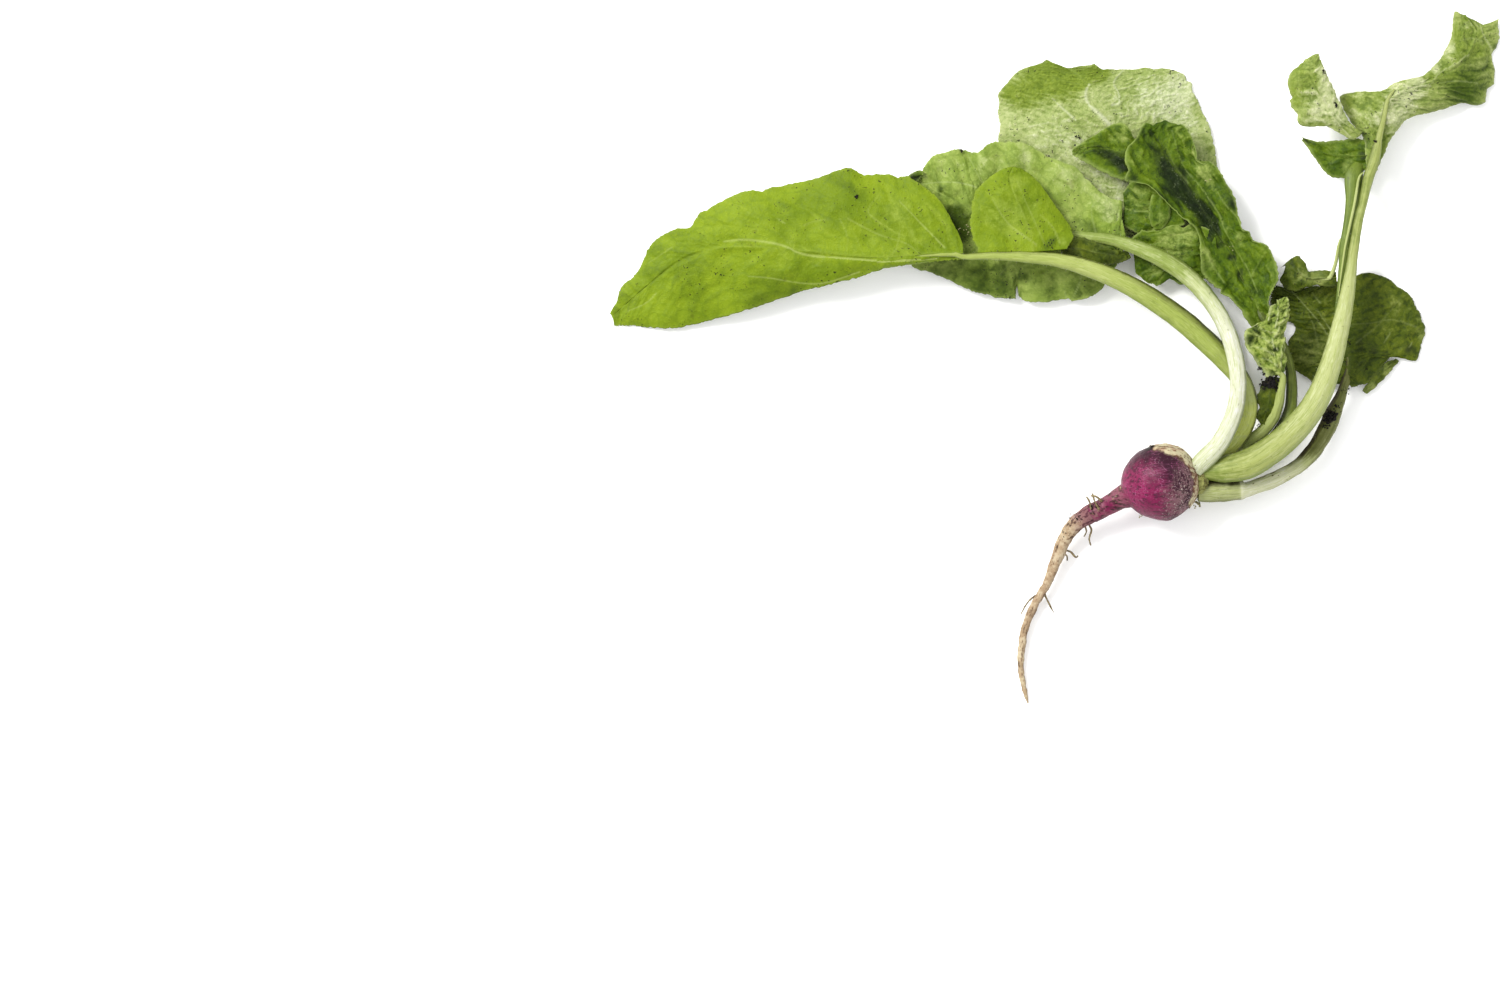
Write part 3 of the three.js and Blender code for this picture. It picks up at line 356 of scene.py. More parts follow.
BLADES = {
    "blade_long": blade(
        [[(-49.6, 59.6, 12.3), (-49.5, 57.2, 12.9), (-49.6, 55.6, 12.5)],
         [(-52, 66, 11.4), (-53, 57.2, 12.9), (-53, 55.4, 12.2)],
         [(-56.5, 72, 10.4), (-57.5, 57, 12.8), (-57.5, 55, 12)],
         [(-64, 76.2, 9.4), (-64, 56.4, 12.5), (-64, 54.2, 11.4)],
         [(-74.5, 77.2, 8.6), (-72, 56.2, 12), (-72, 53, 10.4)],
         [(-86, 75.8, 7.8), (-81, 57, 11.3), (-80, 51, 9.2)],
         [(-98.5, 73, 6.6), (-91, 58, 10.2), (-90, 48.4, 7.6)],
         [(-110, 70, 5.2), (-101, 58.8, 8.8), (-101, 45.2, 5.6)],
         [(-118, 64, 3.6), (-110.5, 58.6, 6.8), (-113, 41.6, 3.4)],
         [(-126.2, 60.2, 2), (-119.5, 55.6, 4.6), (-122, 39.4, 1.6)],
         [(-130.4, 53, 1.1), (-127.6, 49.6, 2.4), (-129.6, 39.4, 0.9)],
         [(-134.6, 48, 0.7), (-133, 45, 1.2), (-133.6, 39.8, 0.5)],
         [(-137.6, 42.8, 0.5), (-137, 41.6, 0.6), (-136.4, 40.2, 0.45)]],
        "bright", (6, 0.5), 0.8,
        ([(-50, 61.5), (-52, 65.2), (-55, 70.5), (-57.5, 73), (-60.5, 75), (-63.4, 76.9), (-65.3, 76.3),
          (-67.8, 77.2), (-74.2, 77), (-77.1, 78.7), (-78.4, 78.8), (-82, 77.7), (-84.7, 76.5), (-88, 75.6),
          (-91, 75.1), (-94.5, 74.2), (-97, 74.1), (-99.5, 72.8), (-101.9, 73.3), (-104.6, 72.7),
          (-109.5, 70.5), (-113, 68.3), (-114.7, 67.8), (-116, 66.1), (-117.4, 63.8), (-120.7, 63.7),
          (-124.7, 61.8), (-127.2, 59.6), (-128.6, 56.9), (-130.2, 53.6), (-131.8, 51.3), (-134, 49.8),
          (-135.2, 47.9), (-135.2, 45.6), (-136.3, 44.1), (-137.4, 42.2)],
         [(-75.2, 51.4), (-87.7, 48.4), (-97.5, 45.2), (-103.4, 43.2), (-131.8, 39.4), (-136.2, 39.3)]),
        lead=0.1,
        veins=[([(-65.2, 70.5), (-60.2, 65.3), (-53.9, 58.9)], 0.6),
               ([(-70.2, 72.1), (-73, 68), (-69.8, 64.8)], 0.3),
               ([(-103, 51.7), (-96.6, 51.2), (-86.1, 49.8), (-75.2, 52.6)], 0.7),
               ([(-109, 60.4), (-103.9, 60.8), (-95.2, 59.6), (-89, 57.2), (-83, 56.4), (-76.2, 55.9),
                 (-70, 55.4), (-64.1, 55.6), (-56, 56)], 0.9, 0.8),
               ([(-60, 57), (-63, 59.6), (-70, 62), (-78, 66)], 0.35),
               ([(-82.5, 66), (-86, 65.6), (-89, 64.4)], 0.3), ([(-95.7, 66.2), (-94, 65)], 0.5),
               ([(-133, 43), (-128.9, 44.8), (-125.9, 47.3)], 0.6), ([(-128, 54.8), (-122, 58.9)], 0.3),
               ([(-68.5, 55.5), (-66, 58.5), (-65, 63)], 0.3), ([(-79, 57), (-78, 61), (-80, 66)], 0.2)],
        marks=[(-64, 66, 9, 0.3), (-135, 45, 5, -0.3), (-118, 52, 9, -0.15), (-92, 47.5, 4, -0.7),
               (-100, 45, 5, -0.7), (-80, 74, 6, -0.3), (-58, 75, 3, -0.2), (-103, 69, 4, 0.1),
               (-88, 62, 7, 0.15), (-70, 75, 4, -0.15)]),
    "lobe_long": blade(
        [[(-23.6, 58.2, 12.4), (-32, 57.4, 13), (-46, 57.2, 13)],
         [(-22.2, 61.6, 11), (-33, 63, 12), (-46.8, 63, 12)],
         [(-24, 66.6, 10.4), (-35, 68, 11.7), (-47.2, 68, 11.2)],
         [(-27.4, 72, 10), (-37, 72.6, 11.2), (-46, 72.6, 10.6)],
         [(-31, 76, 9.8), (-38, 76, 10.6), (-42.6, 76.4, 10.2)],
         [(-34, 78.3, 9.8), (-37, 78.7, 10), (-39.6, 78.4, 9.9)]],
        "bright", (2, 0.3), 0.4,
        ([(-22.5, 59.8), (-21.7, 61.5), (-22.3, 64), (-24.5, 67), (-26.5, 69.8), (-28, 72), (-30.5, 75.5),
          (-33, 77.5), (-35.5, 78.6)],
         [(-45.5, 58.5), (-46.8, 61), (-47.5, 64.5), (-47.1, 67.5), (-46.9, 70.5), (-46, 73), (-43, 76),
          (-40, 77.9)]),
        web=2, lead=0.3,
        veins=[([(-42, 71), (-38, 65), (-31, 59.5)], 0.6), ([(-30, 67), (-27, 64), (-25, 60)], 0.45),
               ([(-36, 76), (-33, 69), (-29, 60)], 0.3)],
        marks=[(-36, 69, 9, 0.5), (-27, 60.5, 1.6, -0.9), (-32, 71, 5, -0.12), (-24, 60, 1.2, 0.6),
               (-29, 59, 1.2, -0.6)]),
    "blade_arched": blade(
        [[(-8.9, 62, 7.5), (-9.3, 60.1, 8.1), (-9.4, 58.4, 7.6)],
         [(-9.6, 66, 6.7), (-11.8, 60.8, 7.8), (-10.8, 55, 6.4)],
         [(-9.8, 71, 6.3), (-16, 61.4, 7.6), (-13.8, 50, 4.8)],
         [(-15, 74.4, 6), (-23, 62.2, 7.3), (-18.5, 46.4, 3.8)],
         [(-24, 80.4, 5.6), (-30, 63.4, 7), (-26, 45, 3.2)],
         [(-32, 84, 5.2), (-35.5, 64.6, 6.8), (-34, 46, 3.2)],
         [(-38, 85.4, 5), (-39.5, 65.6, 6.7), (-36.6, 46, 3.2)],
         [(-44, 84.6, 5), (-43.5, 67, 6.6), (-41, 46.4, 3.2)],
         [(-47, 82.8, 5), (-47.5, 68.6, 6.5), (-47, 47.8, 3.2)],
         [(-51.5, 83.4, 5.2), (-52, 70.8, 6.3), (-54, 51, 3.6)],
         [(-57, 82, 5.2), (-56.5, 73, 6.1), (-60, 55, 4.2)],
         [(-59.4, 78.6, 5.4), (-60, 75.2, 5.8), (-63, 63, 5)],
         [(-62, 77.6, 5.6), (-63, 76.6, 5.7), (-64, 74.6, 5.4)]],
        "fresh", (7, 0.5), 0.7,
        ([(-9.5, 66), (-9.7, 70.5), (-12, 71), (-15, 72.8), (-18, 75.8), (-21, 79), (-24, 80), (-28, 81.5),
          (-31, 83.5), (-34, 85), (-38.5, 85.2), (-41.5, 85.3), (-43.2, 84.6), (-44.2, 83.5), (-45.2, 82.8),
          (-46.5, 82.6), (-48.5, 83.2), (-50.3, 83.5), (-52, 83.1), (-55, 82.3), (-57.5, 81), (-58.7, 79.3),
          (-58.9, 78), (-60, 76.6), (-61.5, 77)],
         [(-13.7, 49.9), (-14.3, 48.9), (-16, 47.3), (-19, 46), (-22, 45.4), (-22.8, 46), (-25, 45.9),
          (-28, 45.2), (-31, 45.1), (-33.5, 45.4), (-35.2, 46.9), (-35.7, 49.4), (-36, 48.3), (-36.1, 46.2),
          (-41, 46.2), (-42.6, 47), (-47, 48), (-52, 50.5), (-57, 52.6), (-62, 54.2)]),
        lead=0.1,
        veins=[([(-40, 52), (-36, 57), (-33, 62)], 0.4), ([(-14, 72), (-17, 69), (-16, 62)], 0.4),
               ([(-22, 46), (-20.5, 49), (-19.3, 53)], 0.6), ([(-48, 82), (-45, 76), (-41, 67)], 0.45),
               ([(-60, 74.6), (-55, 75.2), (-50, 75), (-46, 74)], 0.8), ([(-24, 50), (-23.4, 46)], 0.4)],
        # The darkest marks are painted shade: in the hole between the long leaf's blade and lobe, under that
        # leaf along the lower half, and in the gap between the long and arched stalks.
        marks=[(-50.5, 63.8, 3.4, -1.6), (-51.4, 67.6, 2.4, -1.4), (-55, 73, 1.4, -0.9),
               (-53.6, 72, 1.4, 0.5), (-55, 55, 6, -0.7), (-45, 51, 6, -0.8), (-38, 49, 4, -0.7),
               (-33.5, 51.5, 1.6, -0.9), (-28, 50, 4, -0.55), (-18, 49, 4, -0.8), (-13, 57, 4, -0.8),
               (-17, 57.5, 3, -1), (-12.6, 68, 3.4, 0.9), (-17, 64, 2.6, -0.7), (-22, 68, 3, -0.4),
               (-20, 77, 4, 0.5), (-11, 63, 2.4, -0.4), (-34, 82, 4, 0.5), (-50, 80, 5, 0.15),
               (-44, 79, 3, 0.35), (-26, 64, 3, -0.7), (-25, 76, 4, 0.4), (-16, 72, 3, 0.4),
               (-48, 75.6, 2, -0.4)]),
    "blade_broad": blade(
        [[(-0.6, 60.6, 2), (1.1, 60, 2.4), (2.8, 60.9, 2)],
         [(-12, 62, 1.6), (-1, 66, 2.4), (9, 65, 1.5)],
         [(-21, 65, 1.4), (-3, 72, 2.4), (12.6, 74, 1.3)],
         [(-27, 70, 1.3), (-6, 78, 2.3), (13.4, 80, 1.1)],
         [(-34, 76, 1.2), (-8.5, 84, 2.2), (12.6, 86, 1)],
         [(-39.2, 83.5, 1), (-11.5, 89.5, 2.1), (11.2, 91.5, 0.9)],
         [(-40, 90.5, 0.9), (-15, 95, 1.9), (9, 97, 0.8)],
         [(-40, 96.5, 0.8), (-18, 99, 1.6), (6.3, 101.2, 0.7)],
         [(-36, 102.4, 0.7), (-20.5, 102, 1.2), (-1, 102.8, 0.6)],
         [(-30, 104.6, 0.6), (-22.5, 103.6, 0.9), (-13, 103.2, 0.55)],
         [(-26.5, 104.8, 0.5), (-23.5, 104.4, 0.6), (-19.5, 104, 0.5)]],
        "whitish", (6, 0.3), 0.5,
        ([(-40.5, 85.6), (-39.9, 89.3), (-40.6, 92.5), (-40.1, 94.7), (-40.6, 97), (-37.8, 100.4),
          (-35.2, 103.1), (-31.5, 104.4), (-29.5, 105), (-28.5, 105.9), (-27.3, 105)],
         [(14.2, 79.3), (13.8, 83.2), (12.4, 89), (10.3, 93.4), (8.2, 97.9), (7.8, 100.2), (6.5, 100.5),
          (6.2, 102.1), (5.2, 102.5), (2.9, 103.4), (0.4, 103.7), (-0.7, 102.5), (-1.8, 103.5),
          (-3.5, 103.9), (-6.8, 103.3), (-11.2, 102.4), (-13, 102.9), (-15, 103.6), (-16.3, 104.9),
          (-17.5, 104.3)]),
        [(-23, 104.6, 0, -0.7, 2)], web=7, lead=0.16,
        veins=[([(-26.9, 96.1), (-25, 94.2), (-23.1, 92.5), (-21.2, 90.8)], 0.8, 0.5),
               ([(-17.8, 99.5), (-18.6, 97.3), (-18.3, 95.4), (-16.9, 93.7), (-15, 92), (-12.8, 89.8)], 1,
                0.95),
               ([(-9.1, 103.1), (-10.8, 101.4), (-11.6, 99.8), (-10.6, 97.9), (-10.2, 96.4), (-10.3, 95),
                 (-12, 94.5)], 0.8, 0.5), ([(-5, 98), (-4.6, 95.5), (-6.5, 93)], 0.4),
               ([(-2, 97.5), (-2.6, 94)], 0.3), ([(-5, 91), (-3, 92.6)], 0.4),
               ([(2, 97), (0.6, 93.4), (-1.6, 91)], 0.3), ([(6, 95), (3.4, 92)], 0.3),
               ([(-33, 89), (-28, 90)], 0.3)],
        marks=[(-32, 99.5, 6, -1), (-24, 101, 5.5, -1.1), (-38, 97.5, 3, -0.8), (-28.5, 104, 3.5, -0.7),
               (-15, 102.8, 3, -1.5), (-20, 100.5, 2.6, -0.9), (-34, 94, 3, -0.4), (-22, 95, 3, -0.2),
               (3, 94, 5, 0.9), (-4, 97, 5, 0.5), (5, 99, 4, 0.7), (8, 89, 3, 0.4), (-10, 92, 4, 0.3),
               (-29, 87, 5, 0.35), (-20, 84, 5, 0.5), (13, 84, 2.4, -0.5), (-14, 96.5, 2.5, 0.2),
               (-24, 91, 3, 0.25), (-12, 78, 6, 0.5), (-6, 72, 5, 0.5), (-1, 66, 4, 0.3)]),
    "blade_dark": blade(
        [[(23.6, 39.2, 7), (26.6, 39.5, 6.4), (28, 40.6, 6.9)],
         [(20.4, 42.4, 7.8), (23.8, 44.5, 5.9), (27, 46, 8.2)],
         [(17.5, 45.8, 7.8), (22, 48.5, 5.7), (29, 50, 8.8)],
         [(15.4, 47.8, 7.4), (20, 52, 5.7), (29, 54.5, 9)],
         [(12.4, 51.4, 7.4), (17.5, 57, 5.9), (27, 58.8, 9)],
         [(10.9, 57, 7.9), (14.5, 61.5, 6.1), (22.5, 62, 9)],
         [(8.5, 63, 8.3), (11.5, 66.5, 6.3), (20.3, 66, 9.2)],
         [(2.5, 66, 8.8), (8, 71.5, 6.7), (18.6, 71, 9.2)],
         [(-2, 71, 9.2), (5, 76, 7.2), (16, 76.5, 9.2)],
         [(-7.4, 77, 9.8), (2, 80, 7.6), (13, 80.5, 9.4)],
         [(-8.4, 82.5, 10), (0, 84, 8), (10, 84.5, 9.6)],
         [(-5.6, 87, 10), (-1, 87.5, 8.5), (8, 87.3, 9.5)],
         [(-4, 89.3, 9.8), (-0.3, 89.8, 8.9), (5, 89.5, 9.3)]],
        "dark", (8, 0.4), -0.5,
        ([(22.6, 39.3), (21, 41.5), (20.5, 43), (19, 44.5), (17.8, 46), (15, 47.5), (15.2, 48.5),
          (14, 48.8), (11.4, 51.2), (10.6, 52.4), (10.2, 54), (10, 58), (9.7, 62), (7.5, 64.8), (4, 68),
          (0.4, 71.5), (-2.8, 74.6), (-5.5, 75.1), (-8.9, 75.5), (-8.5, 77), (-7.8, 78.3), (-8.8, 80.5),
          (-8.8, 82.5), (-8, 84), (-6.4, 85.6), (-5.4, 87), (-4.9, 88.7)],
         [(27.2, 45.2), (27.6, 47), (28.8, 49.3), (29.5, 50.6), (29.5, 53.6), (28.2, 56.5), (27, 59),
          (25.5, 60), (23.2, 60.4), (22.9, 61.6), (22.4, 62.8), (21.7, 63.1), (20.7, 63), (20.3, 65),
          (19.4, 67.5), (18.6, 71.5), (16.3, 75.6), (14, 79.2), (12.3, 80.6), (11.2, 79.6), (9.3, 80.5),
          (8.9, 84), (7.6, 87), (7, 88.4), (6, 89.3)]),
        [(1, 90, 0, 0.7, 0.9), (4.2, 89.8, 0, -0.4, 0.5), (-2, 89.3, 0, -0.7, 0.5),
         (-3.8, 89, 0, 0.4, 0.7)],
        web=8, lead=0.09,
        # The lines through (3, 88), (14, 73.5), (16, 64) and (10.2, 62) are painted highlights on the crests
        # of the folds.
        veins=[([(3, 88), (6, 79), (9.8, 74.5), (12, 71.5), (14.8, 67.3), (16, 64)], 0.6),
               ([(14, 73.5), (16.5, 69.8), (19, 66.8), (20.3, 64.5)], 0.7),
               ([(16, 64), (18.5, 59), (21.5, 54.5), (24.5, 47.5)], 0.6), ([(26, 57), (23, 52)], 0.3),
               ([(10.2, 62), (12.5, 55.5), (16, 50)], 0.6), ([(1.5, 84), (4, 79), (7, 75)], 0.3),
               ([(-6, 82), (-3, 79)], 0.3)],
        # The dark marks down the middle paint the shade in the trough of the fold, and the small light ones
        # along it the glints on the midrib.
        marks=[(-2.5, 87, 2.2, -0.4), (-0.8, 83.5, 2.4, -0.7), (1, 79.7, 2.8, -0.9), (4, 75.5, 3.4, -1),
               (12.9, 73.6, 1.2, 0.3), (10.4, 83, 2, 0.5), (11.6, 78.4, 1.6, 0.6), (16.6, 67, 1.3, 0.3),
               (20, 59.6, 1.4, 0.3), (19, 70, 3, -0.3), (6.5, 72, 3.4, -0.9), (9.5, 69, 3, -1),
               (11.6, 66.4, 2.5, -1.1), (13.2, 63.2, 2.3, -1.1), (1, 72.5, 2.5, -0.4),
               (15.4, 60, 1.7, -0.8), (17.8, 56.5, 1.5, -0.8), (20.2, 52.5, 1.5, -0.8),
               (22.5, 47.5, 1.6, -0.5), (17.4, 74, 1.8, -0.6), (18.2, 69.8, 1.6, -0.7),
               (10.6, 77.6, 2.4, 0.7), (12.4, 75.4, 1.6, 0.5), (4, 87.5, 2.6, 0.3), (8.4, 83, 2.6, 0.25),
               (-7, 80, 2, 0.2), (-6, 76.6, 1.4, -0.5), (12.4, 54.5, 2, 0.5), (11.6, 58, 1.6, 0.4),
               (25.5, 54, 3.5, 0.2), (24, 44, 2.6, 0.25), (23, 57, 2, -0.4), (20.4, 62, 1.6, 0.4),
               (14.6, 67.5, 1.4, 0.5), (17, 63.6, 1.2, 0.5)]),
    "lobe_dark_upper": blade(
        [[(-6, 86, 7.9), (-6.6, 82, 7.6), (-7, 78.2, 7.7)],
         [(-9, 89.4, 7.8), (-9.2, 82.2, 7.2), (-10, 76.6, 7.2)],
         [(-12.5, 89.6, 7.6), (-12.8, 83.2, 7), (-14, 78.4, 7)],
         [(-16.5, 87.4, 7.4), (-16.7, 83.8, 6.9), (-17.5, 80.3, 6.9)],
         [(-20, 84.6, 7), (-20.1, 83.2, 6.8), (-20.5, 81.6, 6.8)],
         [(-22, 83.2, 6.8), (-22.2, 82.7, 6.8), (-22, 82.2, 6.8)]],
        "dark", (2, 0.2), 0.3,
        ([(-6.8, 86.6), (-7.2, 88), (-8.5, 89.6), (-10.5, 90.1), (-13, 89), (-16, 87), (-19, 85.5),
          (-21.5, 83.8)],
         [(-8.9, 75.8), (-11.5, 76.4), (-14, 77.6), (-17, 79.2), (-20, 80.9), (-21.8, 82)]),
        web=2, lead=0.2,
        marks=[(-9.5, 87, 3, 0.6), (-19, 83, 2.4, 0.4), (-17, 83.8, 1.6, -0.5), (-14.6, 82.8, 2, -0.7),
               (-12, 81.2, 2.2, -0.8), (-9.6, 79.4, 2.2, -0.9), (-8, 83, 2, -0.5), (-12, 77.8, 1.2, 0.4)]),
    "lobe_dark_middle": blade(
        [[(1.6, 75, 7.2), (4, 70, 6.2), (6, 64.5, 6.6)],
         [(-3, 75.6, 6.9), (-1.4, 69.4, 6.3), (-0.8, 62.6, 5.9)],
         [(-7.2, 75.2, 6), (-5.6, 69, 5.9), (-5.2, 62.2, 5.5)],
         [(-9.4, 72.6, 5.3), (-9.1, 69, 5.3), (-9.2, 64.2, 5.1)]],
        "dark", (2, 0.2), 0.3, web=2, lead=0.25,
        veins=[([(-9.5, 69), (-7, 68.1), (-3, 67.9)], 0.8), ([(-6, 62.2), (-3.5, 63), (-1, 63.6)], 0.8)],
        marks=[(-6, 71.5, 4, 0.5), (-6, 65, 3, 0.15), (-1.5, 68, 1.2, -0.4)]),
    "lobe_dark_small": blade(
        [[(1.8, 71.4, 7.3), (0, 71.8, 7.5), (-2.2, 72, 7.2)],
         [(2.3, 68.5, 7.1), (-0.3, 68.6, 7.5), (-3.1, 68.5, 7)],
         [(1.7, 65.4, 6.9), (-0.4, 65.4, 7.2), (-2.7, 65, 6.8)],
         [(0, 63.2, 6.6), (-0.7, 63.2, 6.7), (-1.6, 63.2, 6.6)]],
        "dark", (1, 0.1), 0.3, web=1, lead=0.2, marks=[(0, 66, 2, 0.5)]),
    "lobe_dark_lower": blade(
        [[(13.6, 62.4, 6.9), (14, 57, 6), (13.4, 51.6, 6.1)],
         [(9, 64.6, 6.7), (8.4, 57, 6), (7.6, 50, 5.5)],
         [(3.4, 64.8, 6.4), (1.6, 56.6, 5.7), (0.6, 48.8, 4.9)],
         [(-3.6, 63.8, 6.2), (-3.6, 56, 5.5), (-3.9, 49.4, 4.8)],
         [(-7.4, 61, 5.8), (-6.6, 55.6, 5.2), (-6.3, 51.8, 4.8)]],
        "dark", (2, 0.2), 0.3,
        ([(9.6, 64.2), (7.7, 64.9), (5.8, 63.7), (4, 64.9), (2, 64.3), (-0.5, 63.1), (-3, 62.9)],
         [(2.4, 51.2), (1.2, 50.2), (-0.6, 49.3), (-2.4, 49.9), (-4, 51), (-6, 52.4)]),
        web=2, lead=0.25,
        veins=[([(5.8, 63.5), (4.5, 60), (5, 56)], 0.45), ([(1, 54), (-1.5, 52), (-3, 50.6)], 0.5),
               ([(9, 63), (7.5, 59.5)], 0.3)],
        marks=[(3, 60, 5, 0.75), (7.5, 62.5, 2.4, 0.5), (-3, 53, 3, 0.3), (-3.5, 61, 2.2, -0.5),
               (6.5, 55.5, 3, 0.1), (10.6, 56, 1.4, -0.8)]),
    "blade_young": blade(
        [[(27.6, 26.8, 10.8), (29.4, 27, 11), (31, 28, 10.8)],
         [(24.4, 30, 11.2), (28.8, 31, 12), (31.2, 31, 11.2)],
         [(21.6, 34.2, 11.4), (27.9, 35, 12.8), (31.3, 35, 11.6)],
         [(21.2, 37.6, 11.6), (27.5, 38.5, 13), (31.4, 38.5, 11.8)],
         [(24.5, 40.3, 11.8), (28.3, 41.5, 13), (32, 41.5, 11.8)],
         [(26.8, 43.4, 11.8), (29.3, 44, 12.6), (32, 44, 11.6)],
         [(29.3, 45.6, 11.6), (30.5, 45.9, 12), (31.8, 45.6, 11.4)]],
        "young", (5, 0.5), 0.4,
        ([(26.2, 26.6), (25.5, 28.2), (24.4, 29.4), (23.8, 30.8), (22.4, 32.6), (21.4, 34.4), (21.2, 36.2),
          (21.3, 38.2), (22.6, 38.8), (24.4, 39.7), (25.6, 40.1), (26.6, 40.8), (27, 42), (27.4, 43.6),
          (28.2, 44.6), (29, 44.3), (29.4, 44.9), (29.9, 46)],
         [(31, 28.5), (31, 31), (31.4, 33.8), (31, 37.2), (31.5, 39), (31.9, 41), (32, 43.5), (32.1, 45.2),
          (31.6, 46.2)]),
        [(30.8, 46, 0, 0.4, 0.7)], web=7, lead=0.06,
        veins=[([(29.8, 46), (29.5, 43.6), (29.3, 41), (28.8, 39)], 1),
               ([(31.7, 46), (31.3, 42.4), (30, 39.7), (29, 37.4), (28.2, 36), (28.3, 34.5), (29.4, 33.4)],
                1), ([(28.2, 44.2), (27.6, 42), (27.1, 40.6)], 1), ([(24, 37), (26, 36.2), (28, 35)], 0.7),
               ([(23, 34), (26, 33.6), (28.4, 32)], 0.7), ([(25.4, 31.4), (27.6, 30.6), (29.6, 29.4)], 0.7),
               ([(24, 39.4), (26.4, 38), (28.6, 37.6)], 0.6), ([(30.6, 36), (30.2, 33), (30.2, 29)], 0.8)],
        marks=[(22.4, 35.6, 1.6, -0.9), (24, 38, 1.6, -0.8), (28.6, 33.4, 0.8, -1.1), (28.5, 42, 0.6, -1.1),
               (30.4, 43, 0.6, -0.6), (28, 27, 1.5, -0.9), (30.6, 36, 1.1, -0.4)]),
    "lobe_young": blade(
        [[(25.8, 26.2, 9.8), (27.4, 26.6, 10), (29.4, 26.2, 9.8)],
         [(24.8, 22.4, 9), (27, 22.4, 9.3), (29.4, 22.4, 9)],
         [(24.4, 18.8, 8), (26.4, 19, 8.4), (28.7, 18.8, 8)],
         [(24.3, 16, 7.2), (25.8, 16, 7.6), (27.2, 16, 7.2)],
         [(25, 14.3, 7), (25.5, 14.2, 7.1), (26, 14.2, 7)]],
        "dusky", (2, 0.2), 0.2,
        ([(25, 24), (24.7, 22.3), (24, 22.1), (24.5, 21.4), (24.3, 20.6), (24.8, 19), (24.3, 17.4),
          (24.2, 16)], []),
        web=3, lead=0.1, marks=[(26, 24.5, 1.6, -1.6), (26, 19, 3, -0.3), (28, 19, 1, 0.4)]),
    "blade_tall": blade(
        [[(51.4, 77.4, 9), (52.2, 77, 9.3), (53.3, 76.4, 9)],
         [(50.9, 80.8, 8.8), (52.8, 80.4, 9.2), (54.8, 79.6, 8.8)],
         [(50.4, 86.2, 7.8), (53.8, 86.2, 9.3), (57, 85.2, 8)],
         [(47, 90.6, 6.6), (55.2, 90.5, 9.5), (59.6, 88.6, 7.4)],
         [(45.6, 96, 6.2), (56.2, 94, 9.7), (62, 91, 6.6)],
         [(49.6, 97.4, 6.8), (58, 96.4, 9.6), (66.5, 92.6, 5.4)],
         [(54.8, 97.4, 7.6), (61.5, 98, 9.2), (71.5, 94.2, 4.2)],
         [(60, 99.9, 7.8), (66, 99.6, 8.4), (75.5, 95.4, 3)],
         [(66, 101.8, 7.4), (70.5, 101.6, 7.2), (80.4, 95.6, 1.8)],
         [(70, 105.5, 6.2), (74.5, 104.6, 5.8), (82.6, 99.8, 1)],
         [(72.6, 111, 4.4), (77.5, 108.6, 4.2), (83.4, 104.6, 0.7)],
         [(73.9, 117.6, 2.4), (79, 112.6, 2.8), (83.8, 111, 0.9)],
         [(77.6, 116, 1.6), (80.6, 114.4, 1.8), (84.2, 115.6, 1.1)]],
        "grey", (5, 0.4), 0.6,
        ([(45, 96.6), (48.6, 97.7), (52.7, 97.3), (55, 97.8), (58.3, 99.8), (62.2, 100.9), (65.8, 101.9),
          (68.1, 103.9), (70.1, 106.1), (71.9, 109.5), (73.1, 113.1), (73.7, 117.7), (75, 116.9),
          (77.8, 116)],
         [(53.7, 76.8), (54.8, 79.6), (56, 82.2), (57.3, 85.4), (60.9, 90.4), (66.5, 92.4), (71.7, 93.7),
          (75.5, 95.1), (79.4, 94.4), (81.1, 95.1), (81.5, 98.3), (83.5, 99.7), (83.7, 103.1),
          (82.8, 107.2), (84, 108.7), (84.9, 111.5), (84.4, 114.6), (84.7, 116.1)]),
        lead=0.12,
        veins=[([(66.6, 97.9), (69.4, 102), (73.8, 104.8), (76.9, 107)], 0.6, 0.6),
               ([(80, 114.3), (80.9, 111.7), (82.8, 108.6), (82.8, 107.5)], 0.9, 0.5),
               ([(46.5, 94.5), (49, 92), (52, 89)], 0.3), ([(60.5, 97.5), (62, 94), (60, 90)], 0.25),
               ([(70, 100), (74, 100.5), (79, 100)], 0.25),
               ([(75, 110.6), (78, 111.2), (80.6, 110.4)], 0.3)],
        marks=[(50.8, 86.4, 2, -1.2), (46.4, 95.6, 1.4, -0.4), (50, 93.5, 4, 0.3), (54, 90.5, 2.4, 0.5),
               (60.5, 96, 4, 1), (59, 91, 3, 0.8), (65, 98.6, 3, 0.6), (69, 94, 3, -0.5),
               (76, 99, 4.5, -0.7), (79.5, 104, 4, -0.6), (73.5, 98.6, 3, -0.5), (77, 96.4, 3, -0.5),
               (72, 104.2, 2, 0.35), (75.6, 107.4, 2.4, 0.25), (76.5, 114.4, 2, 0.35),
               (76.4, 110.6, 1.5, -0.5), (72.3, 108.4, 1.6, 0.9), (69, 103.6, 1.6, 0.9),
               (64, 101, 1.8, 0.6), (82.6, 112, 1.8, -0.4), (84.2, 109, 1, -1.3), (74.4, 116, 1.2, -0.7),
               (57, 86.6, 1.8, 0.3)]),
    "lobe_tall_upper": blade(
        [[(48.4, 85.9, 8.9), (49.4, 86.5, 9.1), (50.2, 87.6, 9)],
         [(44, 88, 10), (46.3, 88.9, 10.4), (47.4, 90.4, 10)],
         [(39.5, 89, 10.8), (43.2, 91.8, 11.6), (45.7, 94, 11)],
         [(34.6, 90, 11.2), (40.2, 95, 12.6), (44.2, 97, 11.7)],
         [(33, 94.4, 11.4), (38.2, 98.6, 13.2), (42.4, 100.4, 12.2)],
